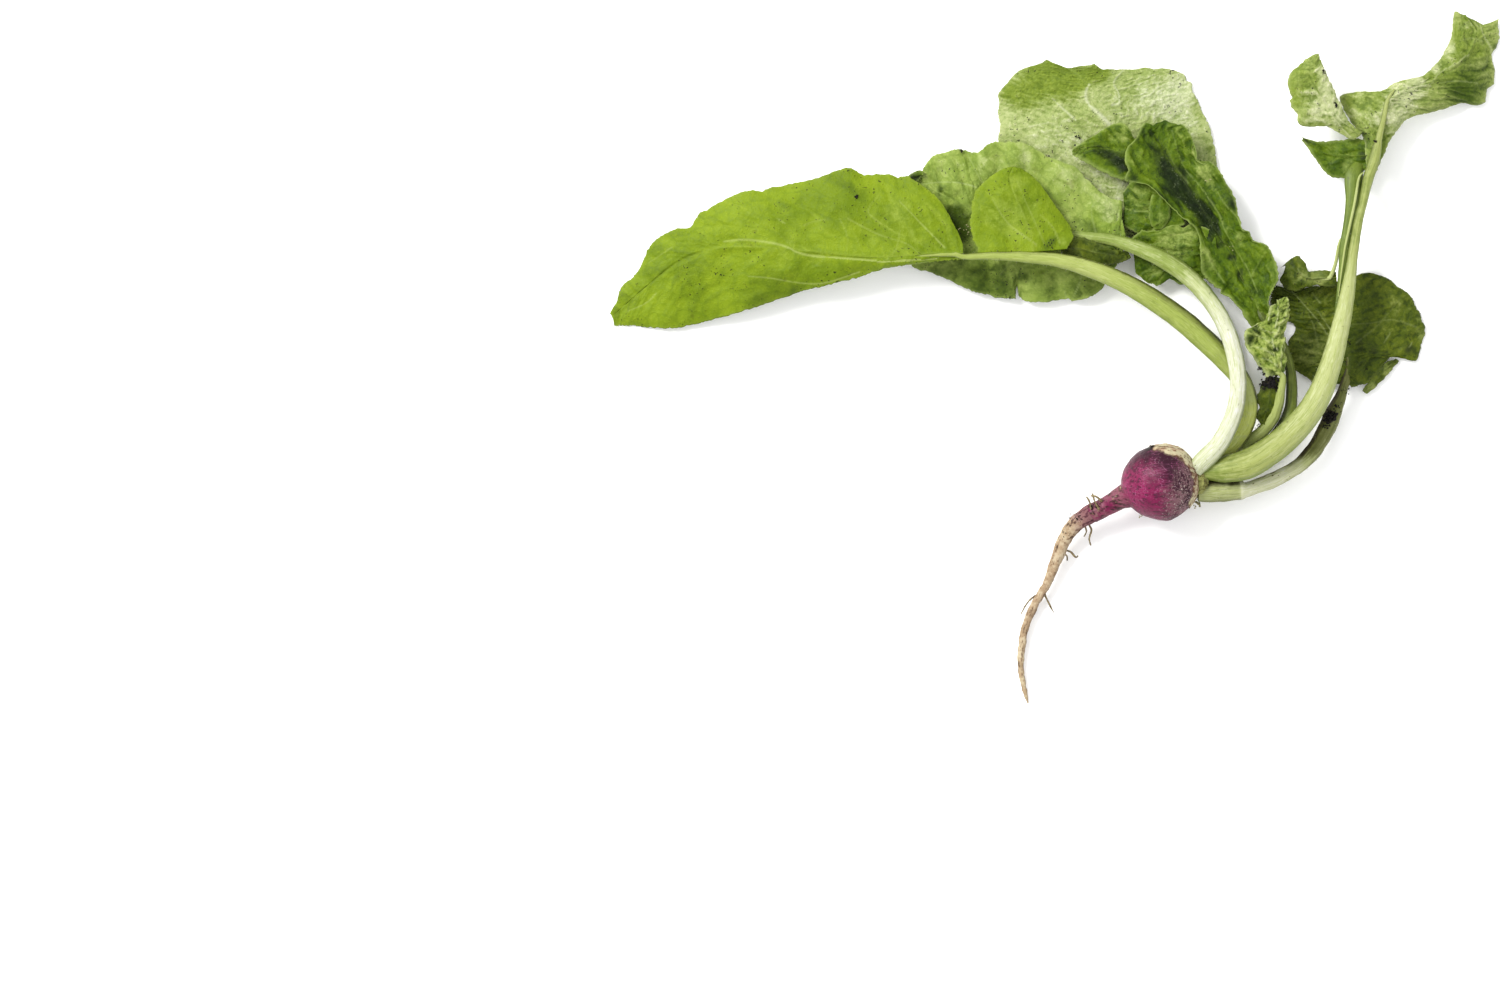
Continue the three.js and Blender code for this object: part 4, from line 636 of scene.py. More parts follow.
         [(31.8, 99.5, 11.6), (37.2, 102.2, 13.4), (40.8, 103.8, 12.4)],
         [(33.6, 103.3, 11.8), (37.2, 104.8, 13), (39.6, 106.2, 12.3)],
         [(36.8, 106, 12), (38, 106.6, 12.4), (39.2, 107, 12.2)]],
        "grey", (3, 0.3), 0.5,
        ([(47.1, 86.1), (45, 87.4), (43, 88.5), (41.7, 89.2), (36.3, 89), (34.5, 90), (34.5, 92),
          (32.7, 94.3), (32.4, 95.6), (33.2, 96), (32.2, 98.7), (32, 101), (32.9, 103), (35.5, 104.3),
          (36.8, 105.6)],
         [(47.9, 88.1), (46.2, 91.1), (44.6, 94.6), (43.8, 97.7), (42.1, 101.1), (40.8, 104.2),
          (39.5, 107.3)]),
        web=4, lead=0.16,
        veins=[([(37.8, 98.9), (40.3, 95.7), (42.5, 92.6), (44.7, 89.8), (47.5, 86.7)], 0.9, 0.55),
               ([(35.9, 93.9), (38.8, 92.3), (41.9, 89.5), (45, 87.3)], 0.7, 0.5),
               ([(39.6, 104.6), (40.2, 99)], 0.4)],
        marks=[(35, 101.5, 3, -0.45), (34, 93, 1.8, -0.2), (40.6, 103, 2.2, 0.8), (42, 99, 2.6, 0.9),
               (43.6, 95, 2.6, 0.9), (45.2, 91, 2.4, 0.8), (40, 93, 3, 0.8), (36.6, 91, 2.4, 0.3),
               (37.4, 97, 2.4, 0.5)]),
    "lobe_tall_lower": blade(
        [[(52.4, 85, 8), (52, 81.6, 8), (51.4, 78.2, 7.8)],
         [(48.8, 85.9, 6.9), (48.2, 81.6, 7.2), (47.4, 76.6, 6.6)],
         [(45, 85.4, 6.2), (44, 81.6, 6.8), (42.6, 77, 5.2)],
         [(40.5, 85, 5.8), (40.2, 82.6, 6.2), (39.6, 80.4, 4.8)],
         [(37.6, 85.6, 5.4), (37.4, 84.6, 5.5), (37.2, 83.6, 5)],
         [(35.6, 86.5, 5.2), (35.4, 86, 5.2), (35.5, 85.5, 5.1)]],
        "dark", (2, 0.3), 0.3,
        ([(47.1, 86), (43, 85.6), (40.4, 85.3), (36.5, 86.2), (35.2, 86.3)],
         [(45.8, 76.1), (42.4, 76.9), (40.9, 78.2), (37.8, 82.5), (35.3, 85.8)]),
        web=3, lead=0.2, veins=[([(46, 83), (43, 80), (41.6, 78.6)], 0.3), ([(49.6, 83), (47, 79)], 0.3)],
        marks=[(36.3, 85.4, 1.7, -1.0), (43, 84, 2.6, 0.2), (46.6, 79.4, 2.2, 0.6), (50.6, 82, 1.3, -0.9),
               (40.6, 82, 1.8, -0.2), (47.6, 84, 2, 0.3)]),
    "leaflet_tall": blade(
        [[(43.6, 52.6, 6.8), (43.7, 51.2, 7.1), (43.8, 49.2, 6.8)],
         [(40, 53, 6.8), (40, 51, 7.2), (40, 49.5, 6.8)],
         [(37.2, 53.2, 6.4), (36.8, 51, 7), (36.4, 48.8, 6)],
         [(35.8, 55.2, 5.6), (34.6, 52.2, 6.4), (33.4, 48.4, 5)],
         [(33.8, 56.5, 5), (32.6, 53.4, 5.8), (31.2, 49.4, 4.6)],
         [(31.4, 55, 4.6), (31, 53.4, 5), (30.3, 51.4, 4.6)]],
        "dusky", (2, 0.2), 0.3,
        ([(42, 53.2), (40.9, 53.3), (37.2, 52.8), (36.5, 54.6), (34.4, 56.8), (32.7, 56.1), (30.2, 53.8)],
         [(42, 48.9), (39.4, 49.5), (36, 48.9), (34, 47.9), (31.2, 48.9), (29.9, 50.8)]),
        web=2, lead=0.15, veins=[([(42.6, 51), (39.5, 51.4), (36.6, 51.4), (34.4, 53.4)], 0.6)],
        marks=[(33, 54.4, 1.4, -0.3), (31.2, 50.4, 1.2, -0.3), (35.6, 51.6, 2, 0.7), (39.5, 51.5, 2, 1.3),
               (41.6, 51.2, 0.8, 1), (33.4, 50.4, 1, 0.5)]),
    "blade_low": blade(
        [[(44.8, 24.8, 3.2), (46.3, 24.9, 3.6), (47.8, 24.4, 3.2)],
         [(40, 24.8, 2.2), (46.8, 27.6, 3.5), (51, 24.9, 2)],
         [(36, 27.2, 1.4), (47, 31, 3.4), (58, 31.4, 1.1)],
         [(33.6, 29.8, 1.1), (46.6, 34, 3.3), (64, 30.8, 0.9)],
         [(32.6, 34.5, 1), (45.3, 36.6, 3.2), (65.8, 37.6, 0.8)],
         [(33.8, 38.5, 1.1), (43, 39.3, 3.1), (64.6, 42.5, 0.8)],
         [(30.8, 42, 1), (40, 42, 2.9), (62.2, 46.2, 0.8)],
         [(28.4, 44.5, 0.9), (36.8, 44.6, 2.6), (57.8, 50.3, 0.9)],
         [(27.6, 47, 0.8), (33.6, 46.8, 2), (52.5, 51.8, 1)],
         [(28, 48.6, 0.8), (31, 48.2, 1.4), (44, 49, 1.4)],
         [(28.6, 49.4, 0.7), (29.9, 49, 0.9), (33.5, 47.9, 1)]],
        "dusky", (6, 0.3), 0.6,
        ([(39.2, 24.7), (36.5, 26.5), (33.3, 28.8), (32.4, 32), (32.1, 35.4), (33.2, 37), (33.8, 39.1),
          (33.3, 39.9), (31.5, 40.5), (29.5, 42), (27.8, 44.5), (27.9, 46.5), (28.8, 48.5), (29.4, 49.4)],
         [(48.6, 24), (50.2, 24.7), (51.5, 24.8), (53, 26.3), (55, 28.6), (57, 31), (59.2, 32.1),
          (60.9, 32.1), (63.9, 30.6), (64.9, 32.5), (65.6, 35.5), (66.3, 37.5), (66.2, 39.3), (65.3, 40.8),
          (65, 42.4), (63.9, 43.8), (63.5, 45.4), (62.5, 46.8), (61, 48.2), (59.4, 49), (58.3, 50.2),
          (56.5, 51.4), (54.5, 52), (51.3, 52.5), (49.9, 51.8), (49, 51.3), (44, 49.2), (41.7, 48.7),
          (40, 47.9), (34, 47.7), (32.3, 47.6)]),
        lead=0.1,
        veins=[([(32, 49), (34, 46.8), (36.5, 44), (39.5, 40.5), (42, 37)], 0.9),
               ([(38, 47.5), (40, 45)], 0.6), ([(39.2, 43.4), (40.8, 41), (42.6, 38.4)], 0.8),
               ([(37, 42.5), (38.5, 39), (39.6, 34)], 0.5), ([(56, 35), (57.5, 37.5)], 0.7),
               ([(62.3, 34), (62.9, 35)], 1), ([(60, 46), (55, 40), (49, 35)], 0.3),
               ([(47.8, 39.6), (53, 40), (58, 40.8), (64, 39)], 0.4)],
        marks=[(35, 36, 4, -0.3), (39.5, 33, 3, 0.3), (58, 45, 5, 0.35), (54, 50, 4, -0.3),
               (50, 29, 4, -0.3), (31, 46, 3, -0.3), (36, 34, 6, 0.6), (55.5, 43.6, 2, -0.7),
               (50, 34.6, 1.2, -0.8), (53.4, 33.2, 1.2, -0.9), (56.4, 32.4, 1.2, -0.7),
               (62, 33.4, 1.6, -0.9), (65.6, 37, 1.6, 0.9), (64.6, 41, 1, 0.7), (40, 46, 3, 0.1)]),
    "torn_bit": blade(
        [[(-25, 60.6, 9.4), (-25, 58.6, 9.8), (-25, 56, 9.4)],
         [(-20, 61, 9), (-20, 58.2, 9.4), (-19.6, 55, 9)],
         [(-15, 59.4, 8.4), (-15, 57.2, 8.8), (-14.6, 54.4, 8.2)],
         [(-11.4, 58, 7.8), (-11.2, 56.8, 8), (-11, 54.8, 7.6)],
         [(-8.6, 58, 7.2), (-8, 57.2, 7.3), (-7.4, 56, 7.1)]],
        "dusky", (2, 0.3), 0.3, web=2, marks=[(-22, 57, 3, -0.8), (-16, 58.5, 2, 0.5), (-12, 56, 2, -0.6)]),
    "sliver": blade(
        [[(50.5, 23, 1.3), (51, 22.6, 1.6), (51.6, 22.3, 1.3)],
         [(51.8, 24.9, 1.4), (52.8, 24.4, 1.8), (53.8, 24, 1.3)],
         [(54.4, 28, 1.3), (55.4, 27.4, 1.7), (56.4, 26.7, 1.2)],
         [(57, 30.4, 1.1), (57.8, 29.8, 1.4), (58.6, 29.2, 1)],
         [(58.8, 31, 1), (59.3, 30.8, 1.1), (59.7, 30.5, 0.9)]],
        "dusky", (1, 0.1), 0.2, web=1, marks=[(52, 23.6, 2, 1.4), (57, 28, 2, 0.9), (54.6, 27.4, 1, -0.8)]),
    "curl": blade(
        [[(-62.6, 76.6, 6.4), (-62.3, 76, 6.7), (-61.9, 75.2, 6.4)],
         [(-61.4, 77.4, 6.8), (-61.1, 76.4, 7.3), (-60.8, 75.3, 6.8)],
         [(-60.2, 77.6, 6.6), (-60.2, 76.7, 7), (-60.3, 75.8, 6.6)],
         [(-59.2, 77.3, 6.3), (-59.3, 76.9, 6.5), (-59.4, 76.4, 6.3)]],
        "dark", (1, 0.1), 0.3, web=1, veins=[([(-61.2, 75.3), (-60.4, 76), (-59.6, 77.3)], 1, 0.5)],
        marks=[(-61.6, 76.4, 1.2, -1.2)]),
}
ADDED = ["lobe_dark_small", "torn_bit", "sliver", "curl"]
print(len(BLADES), "blades")

# %% [markdown]
# ### Places on a blade
#
# The middle surface of a blade swells a little between rib and edge and waves along its edges, by the same
# rule as the solids. The edges are cut finer here. The hems draw them out to the bumps and notches of the
# real leaf, small teeth roughen them, and a tug here and there does the rest.

# %% The middle surface of a blade
WAVE_LEAD = 4            # how far one edge's waves run ahead of the other's
END_STRETCH = 0.04
SOFT_RIB = 0.1           # rounds the middle line, where the two halves would meet in a crease
BUMPS = ((2.6, 0.5), (0.9, 0.28), (0.35, 0.16))
END_CALM = 0.03          # share of the edge at either end without bumps
SIDE_APART = 7.3         # keeps the two edges' bumps from being alike
LEAST_WIDTH = 1.5


def edge_offset(facts, side, t):
    """How far the edge stands out at t, in millimetres."""
    run = t * length_of(np.array([rung[2 * side] for rung in facts["rungs"]]))
    offset = 0 * t
    for size, height in BUMPS[1:] if facts["pulls"][side] else BUMPS:
        offset += height * np.array([noise.noise(Vector((r / size, side * SIDE_APART, size))) for r in run])
    return offset * np.clip(np.minimum(t, 1 - t) / END_CALM, 0, 1)


def blade_middle(facts, t, q, offsets=None):
    """Places in millimetres on the middle surface of a blade, at t along it and q across it."""
    rails = [along([rung[k] for rung in facts["rungs"]], t) for k in range(3)]
    side = (q > 0).astype(int)
    s = np.abs(q)[:, None]
    fade = np.sin(np.pi * np.clip(t, END_STRETCH, 1 - END_STRETCH))[:, None]
    reach = np.where(side[:, None] == 0, rails[0], rails[2]) - rails[1]
    width = np.linalg.norm(reach, axis=1, keepdims=True)
    if offsets is None:
        offsets = 0 * t
    share = s + s**8 * offsets[:, None] / np.maximum(width, LEAST_WIDTH)
    place = rails[1] + reach * share
    bow = (1 + SOFT_RIB) * s**2 / (s + SOFT_RIB)
    lift = facts["arch"] * 4 * bow * (1 - bow) * fade
    phase = 2 * np.pi * facts["waves"][0] * t[:, None] + WAVE_LEAD * side[:, None]
    lift = lift + facts["waves"][1] * s**2 * fade * np.sin(phase)
    place[:, 2] += lift[:, 0]
    for k, pull in enumerate(facts["pulls"]):
        if pull:
            drawn = np.column_stack([np.interp(t, pull[0], pull[1][:, axis]) for axis in (0, 1)])
            place[:, :2] += np.where(side[:, None] == k, drawn * s**4, 0)
    for x, y, right, up, radius in facts["tugs"]:
        pull = np.exp(-((place[:, 0] - x) ** 2 + (place[:, 1] - y) ** 2) / radius**2)[:, None]
        place[:, :2] += pull * (right, up)
    return place


# %% [markdown]
# ### Veins
#
# A radish leaf has a stout midrib, side veins that leave it at a wide angle and bend towards the tip, and
# twigs that link them. One could paint them as a texture, but real veins are furrows on the upper face and
# ridges below, with the blade puckered up between them. So the veins are laid out as lines over the ladder,
# and each corner of the mesh is told how far it is from the nearest one.


# %% Lay out the veins of a blade
VEIN_REACH = 0.93        # how far across, and how far along, the side veins go
VEIN_WIDTH = 0.42
TWIGS = 5


def vein_lines(facts, seed):
    """Lists of (t, q, width in millimetres, strength), one for each vein and twig, drawn by a fixed seed."""
    draw = np.random.default_rng(seed)
    run = np.linspace(0, 0.985, 220)
    lines = [np.column_stack([run, 0 * run, 0.75 - 0.5 * run, 1 - 0.5 * run])]
    count = facts["web"]
    for side in (-1, 1):
        for k in range(count):
            start = VEIN_REACH * (k + 0.3 + 0.35 * draw.random() + 0.2 * side) / count
            lead = facts["lead"] * draw.uniform(0.8, 1.3)
            s = np.linspace(0, 1, 60)
            bend = 0.01 * np.sin(s * draw.uniform(5, 9) + draw.uniform(0, 6))
            t = np.clip(start + lead * (0.6 * s + 0.4 * s**2) + bend * s, 0, 0.99)
            strength = 0.75 * (1 - 0.75 * s) * draw.uniform(0.5, 1)
            lines.append(np.column_stack([t, side * VEIN_REACH * s, VEIN_WIDTH * (1 - 0.62 * s), strength]))
            for j in range(TWIGS):
                at = int(60 * (0.12 + 0.8 * (j + 0.6 * draw.random()) / TWIGS))
                turn = 1 if j % 2 else -1
                far = 0.55 / count * draw.uniform(0.7, 1.2)
                out = draw.uniform(0.1, 0.24)
                w = np.linspace(0, 1, 26)
                sway = 0.06 / count * np.sin(w * draw.uniform(4, 8))
                lines.append(np.column_stack([
                    np.clip(t[at] + turn * far * w + sway, 0, 0.99),
                    np.clip(side * (VEIN_REACH * s[at] + out * w**1.3), -0.97, 0.97),
                    0.24 * (1 - 0.5 * w), 0.4 * (1 - 0.6 * w)]))
    return lines


# %% [markdown]
# ### From ladder to mesh
#
# Corners are set out every third of a millimetre, which is finer than the picture shows. The blade gets a
# thin edge and real thickness, both faces are cut alike, and five numbers go along with every corner for the
# finish to read: how near a vein is, how near the edge, how light the blade is there, and how high the
# blisters and folds stand.


# %% Nearest points, and numbers for every corner
def tree_of(points):
    """A tree that finds near points fast."""
    tree = KDTree(len(points))
    for index, point in enumerate(points.tolist()):
        tree.insert(point, index)
    tree.balance()
    return tree


def nearest(points, places):
    """For each place, the number of the nearest point and the distance to it."""
    tree = tree_of(points)
    found = [tree.find(place) for place in places.tolist()]
    return np.array([hit[1] for hit in found]), np.array([hit[2] for hit in found])


def carry(mesh, label, values):
    """Gives each corner of a mesh its own number, under a name that finishes and trees can read."""
    layer = mesh.attributes.new(label, "FLOAT", "POINT")
    layer.data.foreach_set("value", values.astype(np.float32))


# %% [markdown]
# Between the smallest veins the blade swells up in blisters, like a quilt. Random cells give that look: each
# place knows its nearest and its second nearest middle, and where the two distances are alike there is a
# seam. Longer wrinkles run in the direction of the side veins, so their noise is read in the leaf's own
# directions, stretched along the veins.


# %% Quilting and wrinkles
def quilting(facts, middle, spans, length, cell, seed):
    """From 0 on a seam to 1 on top of a blister, for blisters of about the given size."""
    draw = np.random.default_rng(seed)
    rows, columns = max(3, int(length / cell)), max(3, int(spans.sum() / cell))
    i, j = (grid.ravel() for grid in np.meshgrid(np.arange(rows), np.arange(columns), indexing="ij"))
    t = np.clip((i + draw.uniform(-0.1, 1.1, i.size)) / rows, 0, 1)
    q = np.clip(((j + draw.uniform(-0.1, 1.1, j.size)) / columns) * 2 - 1, -1, 1)
    tree = tree_of(blade_middle(facts, t, q))
    pairs = [tree.find_n(place, 2) for place in middle.tolist()]
    seam = np.array([pair[1][2] - pair[0][2] for pair in pairs])
    return 1 - np.exp(-((seam / (0.32 * cell)) ** 2))


def wrinkles(run, reach, seed, wide, long, turn):
    """Soft folds from 0 to 1, so wide and so long in millimetres, turned off the rib by so many degrees."""
    across = np.abs(reach)
    places = np.column_stack([run, across, 40 * np.sign(reach) + seed])
    run, across = run + 1.5 * swell(places, 5, 2), across + 1.5 * swell(places + 50, 5, 2)
    c, s = math.cos(math.radians(turn)), math.sin(math.radians(turn))
    places = np.column_stack([(across * c - run * s) / wide, (across * s + run * c) / long, places[:, 2]])
    return np.clip(0.5 + 0.85 * swell(places, 1.0, 3), 0, 1)


# %% Build the mesh of a blade
FACET = 0.345            # how far apart corners are, in millimetres
RIB_HALF = 0.3
VEIN_STEP = 0.12         # how close together the places along a drawn vein are
VEIN_HALF = 0.55         # half breadth of a vein's line, and of the furrow over it, in widths
FURROW_HALF = 1.6
PUCKER_HALF = 1.3        # how far from a vein the blade has risen fully, in millimetres
HEM_WIDTH = 0.4          # breadth of the light edge
FLOOR_GAP = 0.02
THIN_OVER_FLOOR = 0.1    # where a blade would sink into the surface, its upper face stays this high
LOOKS = ("thick", "pucker", "wave", "quilt", "wrinkle", "furrow", "web")
STYLES = {
    # thickness, puckers between the veins, broad waves (height, size), quilting (height, size), wrinkles
    # (height, how far apart, how long, turned off the rib), furrows over the veins, strength of small veins
    "bright": (0.36, 0.06, (0.6, 9), (0.05, 3.4), (0.3, 3, 9, 45), -0.08, 0.16),
    "fresh": (0.36, 0.05, (0.8, 6), (0.06, 3), (0.5, 2.4, 6, 45), -0.08, 0.14),
    "whitish": (0.36, 0.04, (0.5, 7), (0.12, 1.6), (0.32, 0.8, 2.6, 60), -0.4, 0.06),
    "dark": (0.4, 0.05, (0.6, 5), (0.1, 2.6), (0.75, 1.6, 6, 14), -0.25, 0.1),
    "young": (0.4, 0, (0.8, 3), (0.15, 2.1), (1.1, 0.9, 3, 30), -0.8, 0),
    "grey": (0.36, 0.05, (0.6, 6), (0.08, 1.6), (0.5, 1.5, 5, 50), -0.25, 0.1),
    "dusky": (0.38, 0.05, (0.6, 6), (0.14, 2.2), (0.5, 1.8, 4, 55), -0.2, 0.15),
}


def grid_faces(rows, columns):
    """Four-cornered faces of a grid of rows by columns, turned to face along its normals."""
    i, j = np.meshgrid(np.arange(rows - 1), np.arange(columns - 1), indexing="ij")
    a = (i * columns + j).ravel()
    return np.column_stack([a, a + 1, a + columns + 1, a + columns])


def make_blade(name, facts, seed):
    """The fine closed mesh of a blade, with what its finish reads at each corner."""
    style = dict(zip(LOOKS, STYLES[facts["style"]]))
    rungs = np.array(facts["rungs"], float)
    spans = [np.linalg.norm(rungs[:, k] - rungs[:, 1], axis=1) for k in (0, 2)]
    length = max(length_of(rungs[:, k]) for k in range(3))
    rows = max(24, int(length / FACET))
    sides = [max(8, int(1.1 * span.max() / FACET)) for span in spans]
    q_line = np.concatenate([np.linspace(-1, 0, sides[0] + 1), np.linspace(0, 1, sides[1] + 1)[1:]])
    columns = len(q_line)
    t_line = np.linspace(0, 1, rows)
    t, q = (grid.ravel() for grid in np.meshgrid(t_line, q_line, indexing="ij"))
    edges = [np.repeat(edge_offset(facts, side, t_line), columns) for side in (0, 1)]
    middle = blade_middle(facts, t, q, np.where(q > 0, edges[1], edges[0]))

    seen = seen_places(middle)
    lines = vein_lines(facts, seed)
    stations = []
    for line in lines:
        spine = blade_middle(facts, line[:, 0], line[:, 1])
        stations.append(np.column_stack([spine, line[:, 2], line[:, 3] * style["web"]]))
    for spots, strength, *width in facts["veins"]:
        steps = 10 + int(length_of(np.array(spots, float)) / VEIN_STEP)
        flat = along(spots, np.linspace(0, 1, steps))
        grown = np.linspace(0.6, 1, steps)
        near, _ = nearest(np.column_stack([seen, 0 * t]), np.column_stack([flat, 0 * grown]))
        flat = true_places(flat, middle[near, 2:])
        broad = (width or [VEIN_WIDTH])[0]
        stations.append(np.column_stack([flat, middle[near, 2], broad * grown, strength * grown]))
    stations = np.vstack(stations)
    near, gap = nearest(stations[:, :3], middle)
    width, strength = stations[near, 3], stations[near, 4]
    vein = np.exp(-((gap / (VEIN_HALF * width)) ** 2)) * strength
    hollow = np.exp(-((gap / (FURROW_HALF * width)) ** 2)) * strength
    bulge = 1 - np.exp(-((gap / PUCKER_HALF) ** 2))

    grid = middle.reshape(rows, columns, 3)
    normal = np.cross(np.gradient(grid, axis=1), np.gradient(grid, axis=0)).reshape(-1, 3)
    normal /= np.maximum(np.linalg.norm(normal, axis=1, keepdims=True), 1e-9)
    rim = np.abs(q)
    calm = 1 - 0.7 * rim**6
    ends = np.clip(np.minimum(t, 1 - t) / 0.05, 0, 1)
    height, size = style["wave"]
    quilt_height, cell = style["quilt"]
    fold_height, *fold_shape = style["wrinkle"]
    local_spans = np.array([np.interp(t_line, np.linspace(0, 1, len(rungs)), span) for span in spans])
    local_span = np.where(q > 0, np.repeat(local_spans[1], columns), np.repeat(local_spans[0], columns))
    reach = q * local_span
    quilt = quilting(facts, middle, np.array([span.max() for span in spans]), length, cell, seed)
    fold = wrinkles(t * length, reach, seed, *fold_shape)
    lift = style["pucker"] * (bulge - 0.5) - style["furrow"] * hollow
    lift += height * swell(middle + seed, size) + quilt_height * (quilt - 0.5) + fold_height * (fold - 0.4)
    moved = middle + normal * (lift * calm * ends * np.clip(rim / 0.08, 0, 1))[:, None]

    half = style["thick"] / 2 * (1 - 0.55 * rim**10)
    half = half + RIB_HALF * (1 - t) * np.exp(-((q * 12) ** 2))
    upper = moved + normal * half[:, None]
    lower = moved - normal * half[:, None]
    lowest = min(upper[:, 2].min(), lower[:, 2].min())
    if lowest < FLOOR_GAP:
        upper[:, 2] = np.maximum(upper[:, 2], THIN_OVER_FLOOR)
        lower[:, 2] = np.maximum(lower[:, 2], FLOOR_GAP)

    faces = grid_faces(rows, columns)
    count = rows * columns
    under = faces[:, ::-1] + count
    rings = []
    for row in (np.arange(rows) * columns, np.arange(rows)[::-1] * columns + columns - 1,
                np.arange(columns)[::-1], (rows - 1) * columns + np.arange(columns)):
        rings.append(np.column_stack([row[:-1], row[1:], row[1:] + count, row[:-1] + count]))
    mesh = bpy.data.meshes.new(name)
    mesh.from_pydata((np.vstack([upper, lower]) * MM).tolist(), [],
                     np.vstack([faces, under, *rings]).tolist())
    mesh.shade_smooth()

    # The marks add up to tone: the blade's own lighter and darker zones together with painted light and
    # shade.
    tone = 0 * t
    for x, y, radius, amount in facts["marks"]:
        away = np.hypot(seen[:, 0] - x, seen[:, 1] - y)
        tone += amount * np.exp(-((away / radius) ** 2))
    edge_gap = local_span * (1 - rim)
    light_edge = np.exp(-((edge_gap / HEM_WIDTH) ** 2))
    told = {"vein": vein, "rim": light_edge, "tone": tone, "quilt": quilt, "fold": fold}
    for label, values in told.items():
        carry(mesh, label, np.tile(values, 2))
    print(name, len(mesh.polygons) * 2, "triangles")
    return mesh


# %% [markdown]
# ### Leaf finishes
#
# All blades share one recipe: two greens that drift into each other, light and dark zones that are partly the
# blade's own and partly painted light and shade, painted light on the crests of the wrinkles and painted
# shade in their hollows, a net of fine cracks and threads from cell patterns, the laid-out veins over it, a
# lighter edge, and specks of soil. Each style only has its own colours and amounts. A photograph on the mesh
# would be quicker, but it would carry its light along with it and would show a single side.


# %% Leaf finish
def leaf_finish(name, colours, net, fold_shade, blotch, specks, rim, dust=0.0):
    """A blade's finish, from its deep, fresh and pale greens and the colours of its veins and of its dark
    zones, which are partly the blade's own darker green and partly painted shade.
    """
    deep, fresh, pale, vein, dark = (colour(*levels) for levels in colours)
    material, graph, shader, place = new_finish(name, Specular_IOR_Level=0.12)
    tone, fold, line = graph.read("tone"), graph.read("fold"), graph.read("vein")
    drift = graph.grain(place, 80, 3, 0.55)
    patch = graph.grain(place, 420, 5, 0.68)
    fine = graph.grain(place, 1500, 3, 0.65)
    base = graph.mix(deep, fresh, graph.ramp(drift + (patch - 0.5) * blotch, 0.34, 0.64))
    # tone and the folds feed the pale and dark mixes below: partly the blade's own zones, partly painted
    # light and shade
    torn = tone + (patch - 0.5) * 0.9 + (fine - 0.5) * 0.5 + (fold - 0.5) * 0.5
    base = graph.mix(base, pale, graph.ramp(torn, 0.1, 1.0))
    dim = tone + (patch - 0.5) * 0.45 + (fine - 0.5) * 0.3 + (fold - 0.5) * 0.5
    base = graph.mix(base, dark, graph.ramp(dim * -1, 0.05, 1.1))
    knots = graph.grain(place, 1150, 3, 0.55)
    # painted light on the crests of the wrinkles and painted shade in their hollows
    ridge = fold + (patch - 0.5) * 1.1 + (fine - 0.5) * 0.9 + (knots - 0.5) * 2 * fold_shade
    base = graph.tint(base, (1.3, 1.22, 1.5), graph.ramp(ridge, 0.55, 1.0) * fold_shade)
    base = graph.tint(base, (0.5, 0.58, 0.38), graph.ramp(ridge, 0.42, 0.0) * fold_shade)
    base = graph.tint(base, (0.62, 0.7, 0.5), graph.ramp(graph.read("quilt"), 0.4, 0.0) * net)
    bent = place + graph.add("ShaderNodeTexNoise", {}, {"Vector": place, "Scale": 400.0})[1] * (1.6 * MM)
    crack = graph.ramp(graph.cells(bent, 420), 0.05, 0.0) * graph.ramp(patch, 0.42, 0.6)
    base = graph.tint(base, (0.7, 0.76, 0.6), crack * net)
    thread = graph.ramp(graph.cells(bent, 1100), 0.2, 0.04) * graph.ramp(fine, 0.42, 0.6)
    base = graph.tint(base, (1.2, 1.15, 1.3), thread * (0.3 + net))
    base = graph.mix(base, vein, line * 0.85)
    base = graph.mix(base, vein, graph.read("rim") * rim)
    near_spots = graph.ramp(graph.grain(place, 150, 2), 0.46, 0.62)
    dots = graph.ramp(graph.grain(place, 1500, 1), 0.66, 0.7) * near_spots
    base = graph.tint(base, (0.1, 0.1, 0.12), dots * specks)
    stain = graph.ramp(graph.grain(place, 260, 3, 0.7), 0.6, 0.7) * near_spots
    base = graph.tint(base, (0.6, 0.52, 0.5), stain * specks * 0.5)
    motes = graph.ramp(graph.grain(place, 2300, 1), 0.6, 0.66) * graph.ramp(tone * -1, 0.6, 1.0)
    base = graph.mix(base, colour(150, 160, 122), motes * graph.ramp(patch, 0.45, 0.6) * dust)
    feed(shader, Base_Color=base, Roughness=0.55 - 0.1 * line + 0.3 * (patch - 0.5),
         Normal=raise_bumps(graph, patch * 0.5 + fine * 0.35 + thread * 0.15, 0.34 * MM, 0.8))
    return material


